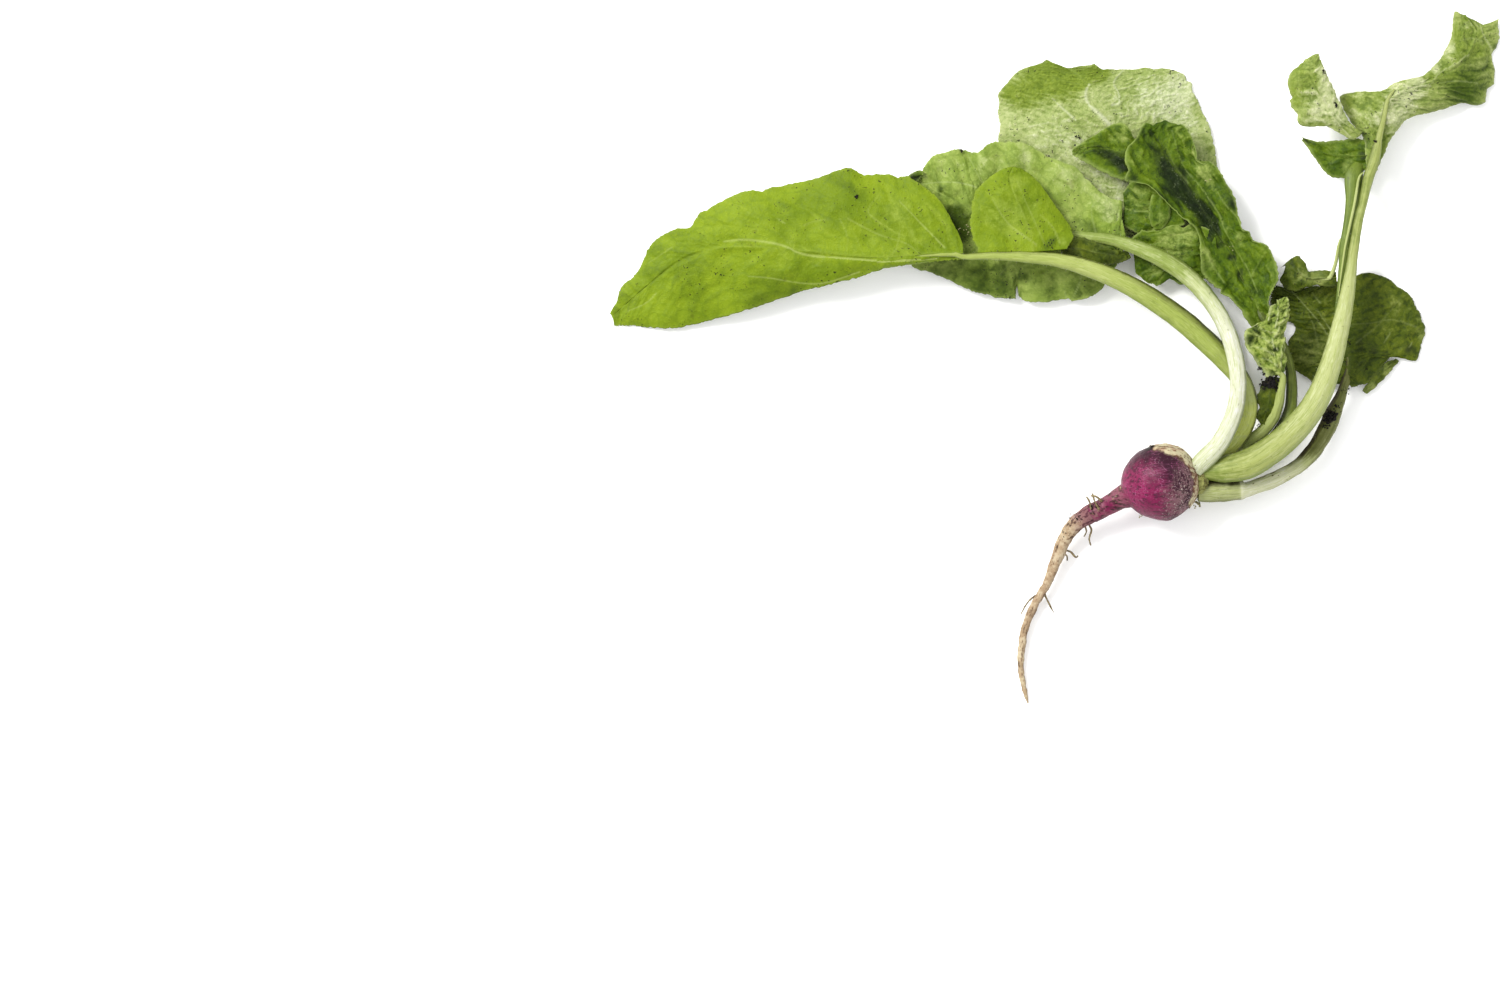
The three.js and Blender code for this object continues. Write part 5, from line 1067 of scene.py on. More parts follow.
LEAF_RECIPES = {
    # deep, fresh, pale, veins, dark zones (partly painted shade); then net, painted light and shade on the
    # folds, blotch, specks, rim and perhaps dust
    "bright": ([(120, 146, 6), (140, 165, 20), (160, 182, 66), (190, 205, 112), (84, 108, 8)],
               0.3, 0.18, 0.3, 0.9, 0.12),
    "fresh": ([(140, 166, 58), (162, 184, 84), (188, 204, 128), (190, 208, 130), (72, 94, 10)],
              0.45, 0.4, 0.35, 1.0, 0.25),
    "whitish": ([(170, 188, 104), (192, 206, 132), (216, 226, 172), (236, 241, 200), (134, 156, 48)],
                0.5, 0.5, 0.5, 1.0, 0.1),
    "dark": ([(78, 107, 1), (100, 127, 12), (156, 176, 84), (172, 192, 104), (28, 46, 1)],
             0.5, 0.85, 0.6, 0.7, 0.6, 0.35),
    "young": ([(134, 156, 54), (168, 186, 92), (214, 224, 162), (220, 229, 168), (44, 62, 4)],
              0.7, 1.3, 0.7, 0.4, 0.6),
    "grey": ([(138, 160, 58), (168, 185, 96), (212, 221, 160), (216, 225, 160), (78, 102, 16)],
             0.5, 0.75, 0.6, 1.0, 0.3),
    "dusky": ([(78, 95, 6), (99, 114, 16), (136, 150, 70), (154, 166, 100), (58, 70, 16)],
              0.5, 0.8, 0.7, 0.8, 0.2),
}
LEAF_FINISHES = {style: leaf_finish(f"{style} leaf", *recipe) for style, recipe in LEAF_RECIPES.items()}
SLOTS = {
    "bright": "bright_blade", "fresh": "fresh_blade", "whitish": "whitish_blade", "dark": "dark_blade",
    "young": "fresh_blade", "grey": "grey_blade", "dusky": "dark_blade",
}
print(len(LEAF_FINISHES), "leaf finishes")


# %% Dress the blades
def place_piece(name, mesh, slot, *nodes):
    """Puts a finished mesh in the scene, on the plant's one body, in place of CAD nodes."""
    piece = bpy.data.objects.new(name, mesh)
    bpy.context.collection.objects.link(piece)
    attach(piece, "root")
    if nodes:
        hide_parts(*nodes)


for seed, (node, facts) in enumerate(BLADES.items()):
    mesh = make_blade(f"leaf_{node}", facts, seed + 3)
    mesh.materials.append(LEAF_FINISHES[facts["style"]])
    place_piece(f"leaf_{node}", mesh, SLOTS[facts["style"]], *([] if node in ADDED else [node]))

# %% [markdown]
# ## Stalks
#
# The stalks are fleshy rods, a little flattened, with fine ridges running along them, and each goes on up
# its blade as a midrib that thins towards the tip. Sweeping a profile along a curve is just what Geometry
# Nodes do well, so one tree makes them all: it takes a chain of points, each with its width, and gives a
# ridged, lumpy rod. It also stores how far along and on which side each corner lies, for the streaks of the
# finish. The thin green wing beside the broad stalk, its rib and the leaflet's stalk are grown the same way.


# %% Start a tree of Geometry Nodes
def new_tree(name, sizes):
    """A tree with a geometry input, numbers by name with their usual values, and a geometry output."""
    tree = bpy.data.node_groups.new(name, "GeometryNodeTree")
    tree.interface.new_socket("Geometry", in_out="INPUT", socket_type="NodeSocketGeometry")
    for label, value in sizes.items():
        socket = tree.interface.new_socket(label, in_out="INPUT", socket_type="NodeSocketFloat")
        socket.default_value = value
    tree.interface.new_socket("Geometry", in_out="OUTPUT", socket_type="NodeSocketGeometry")
    graph = Graph(tree)
    return tree, graph, dict(zip(["Geometry", *sizes], graph.add("NodeGroupInput")))


def close_tree(graph, geometry, material):
    """Ends a tree: smooth faces, no instances left, and one material."""
    smooth = graph.add("GeometryNodeSetShadeSmooth", {}, {0: geometry})[0]
    real = graph.add("GeometryNodeRealizeInstances", {}, {0: smooth})[0]
    dressed = graph.add("GeometryNodeSetMaterial", {}, {0: real, "Material": material})[0]
    graph.add("NodeGroupOutput", {}, {0: dressed})


def grow(name, mesh, tree, sizes):
    """Runs a tree on a mesh and gives back what it makes as a plain mesh."""
    thing = bpy.data.objects.new(name, mesh)
    bpy.context.collection.objects.link(thing)
    modifier = thing.modifiers.new("grow", "NODES")
    modifier.node_group = tree
    for item in tree.interface.items_tree:
        if item.in_out == "INPUT" and item.name in sizes:
            modifier[item.identifier] = float(sizes[item.name])
    grown = bpy.data.meshes.new_from_object(thing.evaluated_get(bpy.context.evaluated_depsgraph_get()))
    bpy.data.objects.remove(thing)
    grown.name = name
    print(name, len(grown.polygons), "faces")
    return grown


# %% The tree that sweeps a rod
def sweep_tree(name, material, sides, ridges):
    """A tree that turns a chain of points with widths into a ridged rod."""
    sizes = {"Flatness": 0.8, "Ridge": 0.02, "Lump": 0.1 * MM, "Lump Scale": 150, "Step": 0.5 * MM}
    tree, graph, given = new_tree(name, sizes)
    chain = graph.add("GeometryNodeMeshToCurve", {}, {0: given["Geometry"]})[0]
    chain = graph.add("GeometryNodeResampleCurve", {"mode": "LENGTH"},
                      {0: chain, "Length": given["Step"]})[0]
    chain = graph.add("GeometryNodeSetCurveNormal", {"mode": "Z_UP"}, {0: chain})[0]
    run = graph.add("GeometryNodeSplineParameter")[1]
    store = {"data_type": "FLOAT", "domain": "POINT"}
    chain = graph.add("GeometryNodeStoreNamedAttribute", store, {0: chain, "Name": "run", "Value": run})[0]

    ring = graph.add("GeometryNodeCurvePrimitiveCircle", {}, {"Resolution": sides, 4: 1.0})[0]
    where = graph.add("GeometryNodeInputPosition")[0]
    side, rise, _ = graph.add("ShaderNodeSeparateXYZ", {}, {0: where})
    ring = graph.add("GeometryNodeStoreNamedAttribute", store, {0: ring, "Name": "side", "Value": side})[0]
    ring = graph.add("GeometryNodeStoreNamedAttribute", store, {0: ring, "Name": "rise", "Value": rise})[0]
    turn = graph.add("GeometryNodeSplineParameter")[0]
    wave = (turn * (2 * math.pi * ridges)).reckon("COSINE") * given["Ridge"] + 1
    squash = graph.point(wave, wave * given["Flatness"], 1.0)
    place = graph.add("ShaderNodeVectorMath", {"operation": "MULTIPLY"}, {0: where, 1: squash})[0]
    ring = graph.add("GeometryNodeSetPosition", {}, {0: ring, "Position": place})[0]

    width = graph.add("GeometryNodeInputNamedAttribute", {"data_type": "FLOAT"}, {"Name": "width"})[0]
    rod = graph.add("GeometryNodeCurveToMesh", {}, {
        "Curve": chain, "Profile Curve": ring, "Scale": width * 0.5, "Fill Caps": True})[0]
    lump = graph.add("ShaderNodeTexNoise", {},
                     {"Vector": where, "Scale": given["Lump Scale"], "Detail": 3.0})[0]
    outward = graph.add("GeometryNodeInputNormal")[0]
    push = (lump - 0.5) * given["Lump"] * 2
    offset = graph.add("ShaderNodeVectorMath", {"operation": "SCALE"}, {0: outward, 3: push})[0]
    rod = graph.add("GeometryNodeSetPosition", {}, {0: rod, "Offset": offset})[0]
    close_tree(graph, rod, material)
    return tree


def chain_mesh(name, path, count, tones=((0, 0), (1, 0))):
    """A chain of points in metres, from a path of x, y, z and width in millimetres. tones gives how pale the
    rod is, from -1 to 1 and a little beyond, at shares of the path."""
    path = np.array(path, float)
    path[:, :2] = true_places(path[:, :2], path[:, 2:3])
    places = along(path, np.linspace(0, 1, count))
    spots = along(path[:, :3], np.linspace(0, 1, count)) * MM
    mesh = bpy.data.meshes.new(name)
    mesh.from_pydata(spots.tolist(), [(k, k + 1) for k in range(count - 1)], [])
    carry(mesh, "width", np.maximum(places[:, 3], 0.05) * MM)
    shares, levels = zip(*tones)
    carry(mesh, "tone", np.interp(np.linspace(0, 1, count), shares, levels))
    return mesh


# %% [markdown]
# ### Stalk finish
#
# Fresh stalks are almost white in some stretches and lime green in others, in long soft streaks. The streaks
# follow the stalk because their noise is read from the stored run and sides rather than from plain space. The
# edges are deeper in colour, and one side is darker than the other as painted shade.


# %% Stalk finish
def stalk_finish(name, colours, shade, specks=0.4):
    """A stalk's finish, from its palest, usual, deep and darkest colours. shade is how far painted shade
    darkens its left side, or its right side when it is negative."""
    pale, lime, deep, dark = (colour(*levels) for levels in colours)
    material, graph, shader, place = new_finish(name, Specular_IOR_Level=0.3)
    run, side, rise, tone = (graph.read(label) for label in ("run", "side", "rise", "tone"))
    spread = graph.point(side * 2.6, rise * 2.6, run * 70)
    fibre = graph.grain(spread, 1.6, 4, 0.65)
    thin = graph.point(side * 8, rise * 8, run * 240)
    fine = graph.grain(thin, 1.5, 3, 0.65)
    mottle = graph.grain(place, 480, 4, 0.62)
    drift = (fibre - 0.5) * 1.6 + (mottle - 0.5) * 0.9
    base = graph.mix(lime, pale, graph.ramp(tone + drift, -0.4, 0.9))
    base = graph.mix(base, deep, graph.ramp(tone * -1 + drift, 0.1, 1.0))
    base = graph.tint(base, (0.68, 0.74, 0.45), graph.ramp(fine + (fibre - 0.5) * 0.8, 0.52, 0.66) * 0.7)
    base = graph.tint(base, (1.22, 1.18, 1.6), graph.ramp(fine + (mottle - 0.5) * 0.6, 0.48, 0.34) * 0.75)
    rim = graph.ramp(side * side + (mottle - 0.5) * 0.5, 0.42, 1.0)
    base = graph.mix(base, deep, rim * graph.ramp(tone, 1.6, -0.2) * 0.8)
    # painted shade down one side of the stalk, and a thin dark line along that edge
    lee = side * math.copysign(1, -shade) + (fibre - 0.5) * 0.9
    ragged = (mottle - 0.5) * 0.5 + (fine - 0.5) * 0.4
    shaded = graph.ramp(lee + ragged, 0.2, 0.95) * graph.ramp(tone, 0.7, -0.4)
    base = graph.mix(base, dark, shaded * abs(shade))
    base = graph.mix(base, dark, graph.ramp(lee + ragged, 0.8, 0.98) * abs(shade) * 0.8)
    # painted light: a tone above 1 brightens the stalk, as at the start of the long stalk in the shade of the
    # arched one
    base = graph.tint(base, (1.3, 1.28, 0.9), graph.ramp(tone, 1.0, 1.3) * graph.ramp(mottle, 0.3, 0.5))
    dots = graph.ramp(graph.grain(place, 1300, 1), 0.66, 0.74) * graph.ramp(mottle, 0.48, 0.6)
    base = graph.mix(base, colour(84, 76, 40), dots * specks)
    feed(shader, Base_Color=base, Roughness=0.38 + 0.22 * fine,
         Normal=raise_bumps(graph, fine * 0.7 + mottle * 0.3, 0.14 * MM, 0.6))
    return material


STALK_RECIPES = {
    # name; palest, usual, deep and darkest colour; shade and perhaps specks
    "arched": ("pale stalk", [(238, 241, 208), (208, 218, 150), (158, 178, 80), (104, 124, 34)], -0.45),
    "tall": ("broad stalk", [(208, 217, 142), (180, 191, 102), (132, 152, 50), (84, 96, 20)], 0.4),
    "low": ("low stalk", [(234, 236, 192), (190, 198, 126), (118, 124, 48), (58, 48, 20)], 1.0, 0.9),
    "long": ("lime stalk", [(196, 208, 118), (168, 186, 78), (122, 144, 34), (78, 80, 20)], -0.9),
    "dark": ("deep stalk", [(182, 194, 108), (140, 158, 58), (92, 108, 24), (46, 56, 6)], 1.0),
    "young": ("thin stalk", [(196, 208, 122), (158, 178, 68), (104, 126, 30), (62, 80, 16)], 0.5),
    "broad": ("under stalk", [(180, 196, 104), (146, 166, 58), (98, 118, 32), (62, 78, 16)], 0.5),
    "wing": ("wing", [(168, 184, 92), (126, 148, 46), (92, 114, 20), (54, 70, 8)], 0.5, 0.8),
    "rib": ("wing rib", [(208, 218, 140), (182, 198, 100), (140, 162, 56), (84, 104, 20)], 0.3),
}
STALK_FINISHES = {label: stalk_finish(*recipe) for label, recipe in STALK_RECIPES.items()}
STALK_TONES = {
    # how pale, at shares of the stalk's own points; above 1 lies the midrib. The dark start of the tall stalk
    # is
    #     # painted shade by the crown, and the very pale start of the long stalk is painted light against the
    #     shade
    #     # of the arched stalk over it.
    "arched": [(0, 0.3), (0.17, 0.5), (0.4, 1), (0.6, 0.8), (0.72, -0.2), (0.82, -0.8), (1, -0.8), (1.4, -1)],
    "tall": [(0, -0.8), (0.12, -0.55), (0.28, 0.2), (0.45, 0.8), (0.56, 0.4), (0.66, -0.4), (0.78, -0.4),
             (1, 0)],
    "low": [(0, -0.3), (0.2, -0.2), (0.23, 1), (0.45, 1), (0.56, 0.1), (0.64, -1), (0.95, -1), (1, -1)],
    "long": [(0, 1.3), (0.25, 1.2), (0.42, 0), (0.6, -0.1), (0.75, 0.6), (0.88, 0), (1.5, 0)],
    "dark": [(0, 0), (0.5, -0.2), (1, -0.8), (1.5, -1)],
    "young": [(0, 0), (0.6, 0.6), (1, 0.6)],
    "broad": [(0, 0), (1, 0)],
}

# %% [markdown]
# ### Paths of the stalks
#
# Each path is x, y, z and width in millimetres, as in the solids. The midrib goes on along the middle rail of
# its blade.

# %% Grow the stalks with their midribs
STALKS = {
    "arched": [
        (8.8, 3.2, 11.4, 4.2), (10.2, 4.9, 12, 4.8), (11.9, 6.6, 12.3, 4.9), (14.2, 9, 12.5, 4.7),
        (17, 13.7, 12.8, 4.4), (18.9, 19, 12.9, 4.2), (19.5, 26, 12.7, 4.1), (18.4, 33, 12.1, 4.2),
        (15.9, 40, 11.3, 4.1), (12.1, 46, 10.5, 4.1), (7.3, 51.3, 9.6, 4.3), (1.2, 55.6, 8.9, 4.3),
        (-4.5, 58.3, 8.4, 3.9), (-8.6, 59.8, 8.2, 3.4)],
    "tall": [
        (9.8, 2.6, 10.4, 3), (11.4, 2.9, 10.6, 3.9), (13, 3.1, 10.5, 5), (15.6, 3.4, 10.5, 6.4),
        (21.5, 4.7, 10.9, 7.3), (27, 7.8, 11.1, 7.1), (32.2, 12, 11.2, 6.8), (36.7, 17, 11.2, 6.5),
        (40.1, 22.7, 11.1, 6), (42.6, 29.5, 10.9, 5.4), (44.6, 37, 10.6, 4.8), (46.2, 44, 10.3, 4.1),
        (47.1, 49, 10.2, 3.5), (47.8, 54, 10, 2.8), (48.5, 59, 9.8, 2.5), (49.5, 65, 9.7, 2.3),
        (50.9, 71, 9.6, 2.2), (52.1, 76.4, 9.8, 2.7), (53.6, 81, 10, 2.8), (54.9, 87, 10.1, 1.7),
        (56.1, 92, 10.2, 1.3), (56.9, 95.8, 10, 1), (58.6, 98.4, 9.4, 0.5)],
    "low": [
        (9.4, -2.5, 8.8, 4.2), (13, -2.2, 8.2, 5.1), (19.4, -1.8, 7.3, 4.9), (20.7, -1.7, 7.2, 4.7),
        (21.3, -1.65, 7.1, 3.9), (28, 0.7, 6.1, 3.8), (34.4, 4.2, 5.2, 3.7), (38.2, 8, 4.6, 4),
        (41, 12.4, 4.2, 4.3), (43.1, 17, 3.9, 4.2), (45, 21.2, 3.7, 3), (46, 24.4, 3.6, 2.3)],
    "long": [
        (10.8, 3.6, 7.6, 3.7), (15, 7, 7.4, 4.3), (18.5, 10.3, 7.3, 4.5), (21.4, 15, 7.4, 4.6),
        (22.1, 20, 7.6, 4.6), (20.3, 25.6, 7.9, 4.7), (16.5, 30.4, 8.3, 5.2), (11.6, 35.3, 8.8, 5.5),
        (5.6, 40.6, 9.5, 5.5), (-0.4, 44.9, 10.2, 5.3), (-8.2, 49.6, 11, 4.9), (-16, 53, 11.7, 4.4),
        (-25, 55.6, 12.3, 3.6), (-35, 56.6, 12.7, 2.8), (-43, 56.8, 12.9, 2), (-49, 56.6, 12.9, 1.5)],
    "dark": [
        (11, -1, 5, 2.6), (18, 3, 4.7, 2.8), (24, 7.2, 4.8, 2.9), (29, 12, 5, 3), (32.3, 17.6, 5.3, 3.1),
        (32.9, 24, 5.7, 2.8), (32.2, 30, 6, 2.5), (29.9, 35.4, 6.2, 2.5), (27, 39, 6.3, 2.4)],
    "young": [
        (11.2, 2, 5.2, 1.9), (17, 6.8, 4.6, 2.1), (21.7, 10.1, 5.2, 2.5), (25.8, 13.2, 6.2, 3),
        (28.2, 16.2, 7, 3), (29.4, 19.4, 8, 2.7), (30.2, 23, 9.4, 2.1), (30.6, 26.8, 10.6, 1.5)],
    "broad": [
        (10.9, 3.9, 5.1, 2.4), (14.8, 9.2, 3.2, 2.4), (18.2, 16, 2.4, 2.4), (19.6, 24, 2.3, 2.4),
        (18.9, 32.4, 2.3, 2.4), (15.7, 40.2, 2.3, 2.4), (10.6, 47.2, 2.3, 2.4), (4.8, 52.8, 2.4, 2.4),
        (1.6, 59, 2.4, 2.2)],
}
WING = [
    (49.8, 79.6, 6.9, 3), (48.6, 77, 8.2, 4.6), (48.2, 70.5, 9.2, 3.6), (47.1, 64, 9.3, 2.8),
    (46.2, 59, 9.3, 2.7), (45.7, 54, 9.4, 2.1), (45, 49, 9.7, 1.5), (44.2, 43, 9.9, 1.1),
    (43.3, 37, 10, 0.7)]
WING_RIB = [
    (50.9, 77.6, 10.4, 0.3), (50.1, 77, 10.5, 0.5), (49.6, 75.8, 10.4, 0.6), (49.3, 74, 10.2, 0.7),
    (48.7, 70.3, 10.1, 0.7), (47.2, 63.3, 10.1, 0.65), (46.3, 59.1, 10, 0.6), (45.5, 53.7, 10, 0.5),
    (44.6, 46.6, 10.1, 0.3)]
LEAFLET_STALK = [
    (45.3, 61, 9.2, 0.8), (44.7, 59, 8.7, 0.9), (44, 55.3, 7.8, 0.9), (43.2, 52.8, 7.3, 1),
    (42.4, 51.3, 7.2, 1.1), (41.2, 51, 7, 0.7), (39.4, 51, 6.7, 0.4)]
STALK_SLOTS = {"arched": "pale_stalk", "tall": "pale_stalk"}
RIB_TIP = 0.35           # width of a midrib where it ends, in millimetres


def with_midrib(path, node, reach, fall):
    """A stalk's path, carried on along the middle rail of its blade and thinned to a thread."""
    rail = along([rung[1] for rung in BLADES[node]["rungs"]], np.linspace(0.04, reach, 14))
    share = np.linspace(0, 1, len(rail)) ** fall
    widths = path[-1][3] * 0.92 * (1 - share) + RIB_TIP * share
    return [*path, *np.column_stack([rail, widths]).tolist()]


RIB_REACH = {"long": 0.27, "dark": 0.25, "young": 0.3, "low": 0.45, "broad": 0.5, "arched": 0.6}
RIB_FALL = {"arched": 1.2, "long": 1.15}
STALK_LUMPS = {"low": 0.3, "dark": 0.24, "young": 0.26}
for label, path in STALKS.items():
    tree = sweep_tree(f"sweep {label}", STALK_FINISHES[label], 40, 9)
    whole = path
    if label in RIB_REACH:
        whole = with_midrib(path, f"blade_{label}", RIB_REACH[label], RIB_FALL.get(label, 0.5))
    own_share = (len(path) - 1) / (len(whole) - 1)
    tones = [(share * own_share, level) for share, level in STALK_TONES[label]]
    chain = chain_mesh(f"chain_{label}", whole, 200, tones)
    sizes = {"Flatness": 0.8, "Ridge": 0.03, "Lump": STALK_LUMPS.get(label, 0.16) * MM, "Lump Scale": 300}
    mesh = grow(f"rod_{label}", chain, tree, sizes)
    place_piece(f"rod_{label}", mesh, STALK_SLOTS.get(label, "lime_stalk"), f"stalk_{label}")

WING_TONES = [(0, -0.2), (0.3, -0.5), (0.6, -0.3), (1, -0.9)]
RIB_TONES = [(0, 0.2), (0.5, 0.6), (1, 0.2)]
THIN_STALKS = [
    ("wing", WING, "wing", 0.5, WING_TONES), ("wing_rib", WING_RIB, "rib", 0.9, RIB_TONES),
    ("leaflet_stalk", LEAFLET_STALK, "rib", 0.9, RIB_TONES)]
for label, path, kind, flatness, tones in THIN_STALKS:
    tree = sweep_tree(f"sweep {label}", STALK_FINISHES[kind], 24, 5)
    mesh = grow(label, chain_mesh(f"chain_{label}", path, 160, tones), tree, {"Flatness": flatness})
    place_piece(label, mesh, "pale_stalk")

# %% [markdown]
# ## The bulb
#
# A ball that runs out into a neck. Its rings follow a bent axis, as in the solid, only finer. Half of it is
# smooth magenta skin; the side that lay against the soil is covered by a dry tan skin with a ragged edge, and
# towards the leaves the purple is dulled by dust. The lower left side is painted brighter magenta and the
# rest darker purple, as painted light and shade. Where each of these begins is worked out corner by corner,
# so that the tan skin can also stand a little proud.

# %% Bulb mesh
BULB_RADIUS = 9.45
BULB_MIDDLE = np.array([0, 0, 9.2])
BULB_AXIS = [(9.45, 0.7, 9.2), (0, 0, 9.2), (-9.2, -3.3, 8.2), (-13, -5.4, 7.2), (-17.2, -7.8, 6.2)]
NECK_RADIUS = 2.6
BULB_BLEND = 3.2         # how sharp the corner between ball and neck is
SHOULDER = 0.55          # the swelling where the ball runs out, in millimetres
TAN_FROM = [-45, -25, -8, 5, 21, 45, 73, 99, 108]              # degrees around the ball, seen from above
TAN_INNER = [8.6, 8.5, 8.4, 8.3, 7.9, 7.2, 7.1, 7.7, 9.6]      # where the tan skin begins there
BULB_RINGS = 190
BULB_SIDES = 180


def even_rail(points, count):
    """Places at even steps along a curve through points."""
    dense = along(points, np.linspace(0, 1, 2000))
    run = np.concatenate([[0], np.cumsum(np.linalg.norm(np.diff(dense, axis=0), axis=1))])
    at = np.linspace(0, run[-1], count) if np.isscalar(count) else count * run[-1]
    return np.column_stack([np.interp(at, run, dense[:, k]) for k in range(3)]), run[-1]


def tube_faces(rings, sides):
    """Faces of a closed tube of rings, turned outwards, with both ends closed by one face."""
    i, j = np.meshgrid(np.arange(rings - 1), np.arange(sides), indexing="ij")
    a, b = (i * sides + j).ravel(), (i * sides + (j + 1) % sides).ravel()
    faces = np.column_stack([a, b, b + sides, a + sides]).tolist()
    return [*faces, list(range(sides))[::-1], list(range((rings - 1) * sides, rings * sides))]


turned = np.linspace(0, 1, BULB_RINGS)
share = 0.5 * turned + 0.5 * (1 - np.cos(math.pi * turned / 2))
middle, axis_length = even_rail(BULB_AXIS, share)
run = share * axis_length
aim = np.gradient(middle, axis=0)
aim /= np.linalg.norm(aim, axis=1, keepdims=True)
ball = np.sqrt(np.maximum(BULB_RADIUS**2 - (run - BULB_RADIUS) ** 2, 0))
ball[run > 2 * BULB_RADIUS] = 0
neck = np.where(run > BULB_RADIUS, NECK_RADIUS, 0)
radius = np.maximum((ball**BULB_BLEND + neck**BULB_BLEND) ** (1 / BULB_BLEND), 0.15)
radius += SHOULDER * np.exp(-(((run - 2 * BULB_RADIUS + 0.2) / 1.6) ** 2))
radius -= 0.25 * np.clip((run - 21) / 4, 0, 1)
sideways = np.cross(aim, [0, 0, 1])
sideways /= np.linalg.norm(sideways, axis=1, keepdims=True)
upward = np.cross(sideways, aim)
angle = np.linspace(0, 2 * math.pi, BULB_SIDES, endpoint=False)[None, :, None]
spokes = np.cos(angle) * sideways[:, None] + np.sin(angle) * upward[:, None]
skin = (middle[:, None] + radius[:, None, None] * spokes).reshape(-1, 3)
outward = spokes.reshape(-1, 3)

from_middle = (skin - BULB_MIDDLE) / BULB_RADIUS
seen = seen_places(skin)
azimuth = np.degrees(np.arctan2(seen[:, 1], seen[:, 0]))
elevation = np.degrees(np.arcsin(np.clip(from_middle[:, 2], -1, 1)))
ragged = swell(skin, 2.2, 4)
inner = np.interp(azimuth, TAN_FROM, TAN_INNER)
out_here = np.where(elevation > 0, np.hypot(seen[:, 0], seen[:, 1]), 12)
tan_skin = np.clip((out_here - inner - 0.7 * ragged) / 0.45, 0, 1)
tan_skin *= np.clip((np.minimum(azimuth + 40, 108 - azimuth) + 6 * ragged) / 4, 0, 1)
tan_skin[seen[:, 0] < -6] = 0
tip = np.exp(-(np.linalg.norm(skin - [-2.8, 8.2, 12], axis=1) / 1.6) ** 2)
dust = np.clip((from_middle @ [0.86, -0.36, 0.36] - 0.42 + 0.12 * ragged) / 0.4, 0, 1)
# painted light: how far each corner faces the lower left, where the skin is painted brighter magenta
bright = np.clip((from_middle @ [-0.75, -0.5, 0.28] + 0.12) / 0.8 + 0.1 * ragged, 0, 1)
stem_part = np.clip((run - 2 * BULB_RADIUS + 1.5) / 3, 0, 1).repeat(BULB_SIDES)
crease = np.clip(1 - np.abs(from_middle @ [0.98, 0.08, 0.1] - 0.93) / 0.09, 0, 1)

lift = 0.16 * swell(skin, 4.5) + 0.05 * swell(skin, 0.9) + 0.28 * tan_skin * (1 + 0.4 * ragged) + 0.3 * tip
lift += 0.12 * crease * ragged + 0.1 * stem_part * swell(skin, 1.6)
skin = skin + outward * lift[:, None]
skin[:, 2] = np.maximum(skin[:, 2], 0.01)

mesh = bpy.data.meshes.new("bulb_skin")
mesh.from_pydata((skin * MM).tolist(), [], tube_faces(BULB_RINGS, BULB_SIDES))
mesh.shade_smooth()
zones = {"tan_skin": tan_skin, "dust": dust, "bright": bright, "neck": stem_part, "tip": tip}
for label, values in zones.items():
    carry(mesh, label, values)

# %% Bulb finish
material, graph, shader, place = new_finish("magenta skin", Specular_IOR_Level=0.16, Coat_Roughness=0.3)
cloud = graph.grain(place, 190, 4, 0.6)
fine = graph.grain(place, 900, 3, 0.6)
long_way = graph.add("ShaderNodeMapping", {"vector_type": "POINT"},
                     {"Vector": place, "Scale": (1, 5, 5)})[0]
streaks = graph.grain(long_way, 260, 4, 0.6)
# painted light and shade: brighter magenta towards the lower left, darker purple elsewhere, mottled by noise
lit_side_and_mottle = graph.read("bright") + (cloud - 0.5) * 1.5 + (fine - 0.5) * 0.3
base = graph.mix(colour(58, 8, 36), colour(156, 30, 92), graph.ramp(lit_side_and_mottle, 0.05, 1.25))
base = graph.mix(base, colour(56, 8, 36), graph.ramp(streaks + (fine - 0.5) * 0.4, 0.46, 0.66) * 0.75)
freckles = graph.ramp(graph.grain(place, 1200, 4, 0.7), 0.54, 0.66)
base = graph.mix(base, colour(52, 10, 34), freckles * 0.6)
scratch = graph.ramp(graph.cells(long_way, 330), 0.05, 0.0) * graph.ramp(cloud, 0.5, 0.6)
base = graph.mix(base, colour(190, 110, 152), scratch * 0.7)
powder = graph.grain(place, 2000, 4, 0.7) + (cloud - 0.5) * 0.6
base = graph.mix(base, colour(156, 118, 122), graph.read("dust") * graph.ramp(powder, 0.4, 0.58) * 0.9)
base = graph.mix(base, colour(58, 30, 30), graph.read("dust") * graph.ramp(streaks, 0.5, 0.66) * 0.8)
flecks = graph.ramp(graph.grain(place, 2200, 2, 0.6), 0.6, 0.68)
base = graph.mix(base, colour(214, 196, 186), flecks * (graph.read("dust") * 0.8 + 0.12))
pits = graph.ramp(graph.cells(place, 900, "F1"), 0.16, 0.08)
pits = pits * graph.ramp(graph.grain(place, 300, 2), 0.5, 0.62)
base = graph.mix(base, colour(222, 190, 206), pits * (0.35 + graph.read("dust") * 0.5))
base = graph.mix(base, colour(152, 92, 106), graph.read("neck") * graph.ramp(cloud, 0.34, 0.56) * 0.9)
base = graph.mix(base, colour(58, 26, 28),
                 graph.read("neck") * graph.ramp(streaks + (fine - 0.5) * 0.4, 0.48, 0.62) * 0.9)
tan_flecks = graph.ramp(graph.grain(place, 900, 4, 0.7), 0.58, 0.66) * graph.ramp(cloud, 0.42, 0.56)
base = graph.mix(base, colour(196, 156, 128), graph.read("neck") * tan_flecks * 0.9)
husk = graph.mix(colour(228, 218, 178), colour(206, 168, 138),
                 graph.ramp(cloud + (fine - 0.5) * 0.6, 0.4, 0.66))
husk = graph.mix(husk, colour(110, 74, 48), graph.ramp(streaks + (fine - 0.5) * 0.7, 0.5, 0.64) * 0.85)
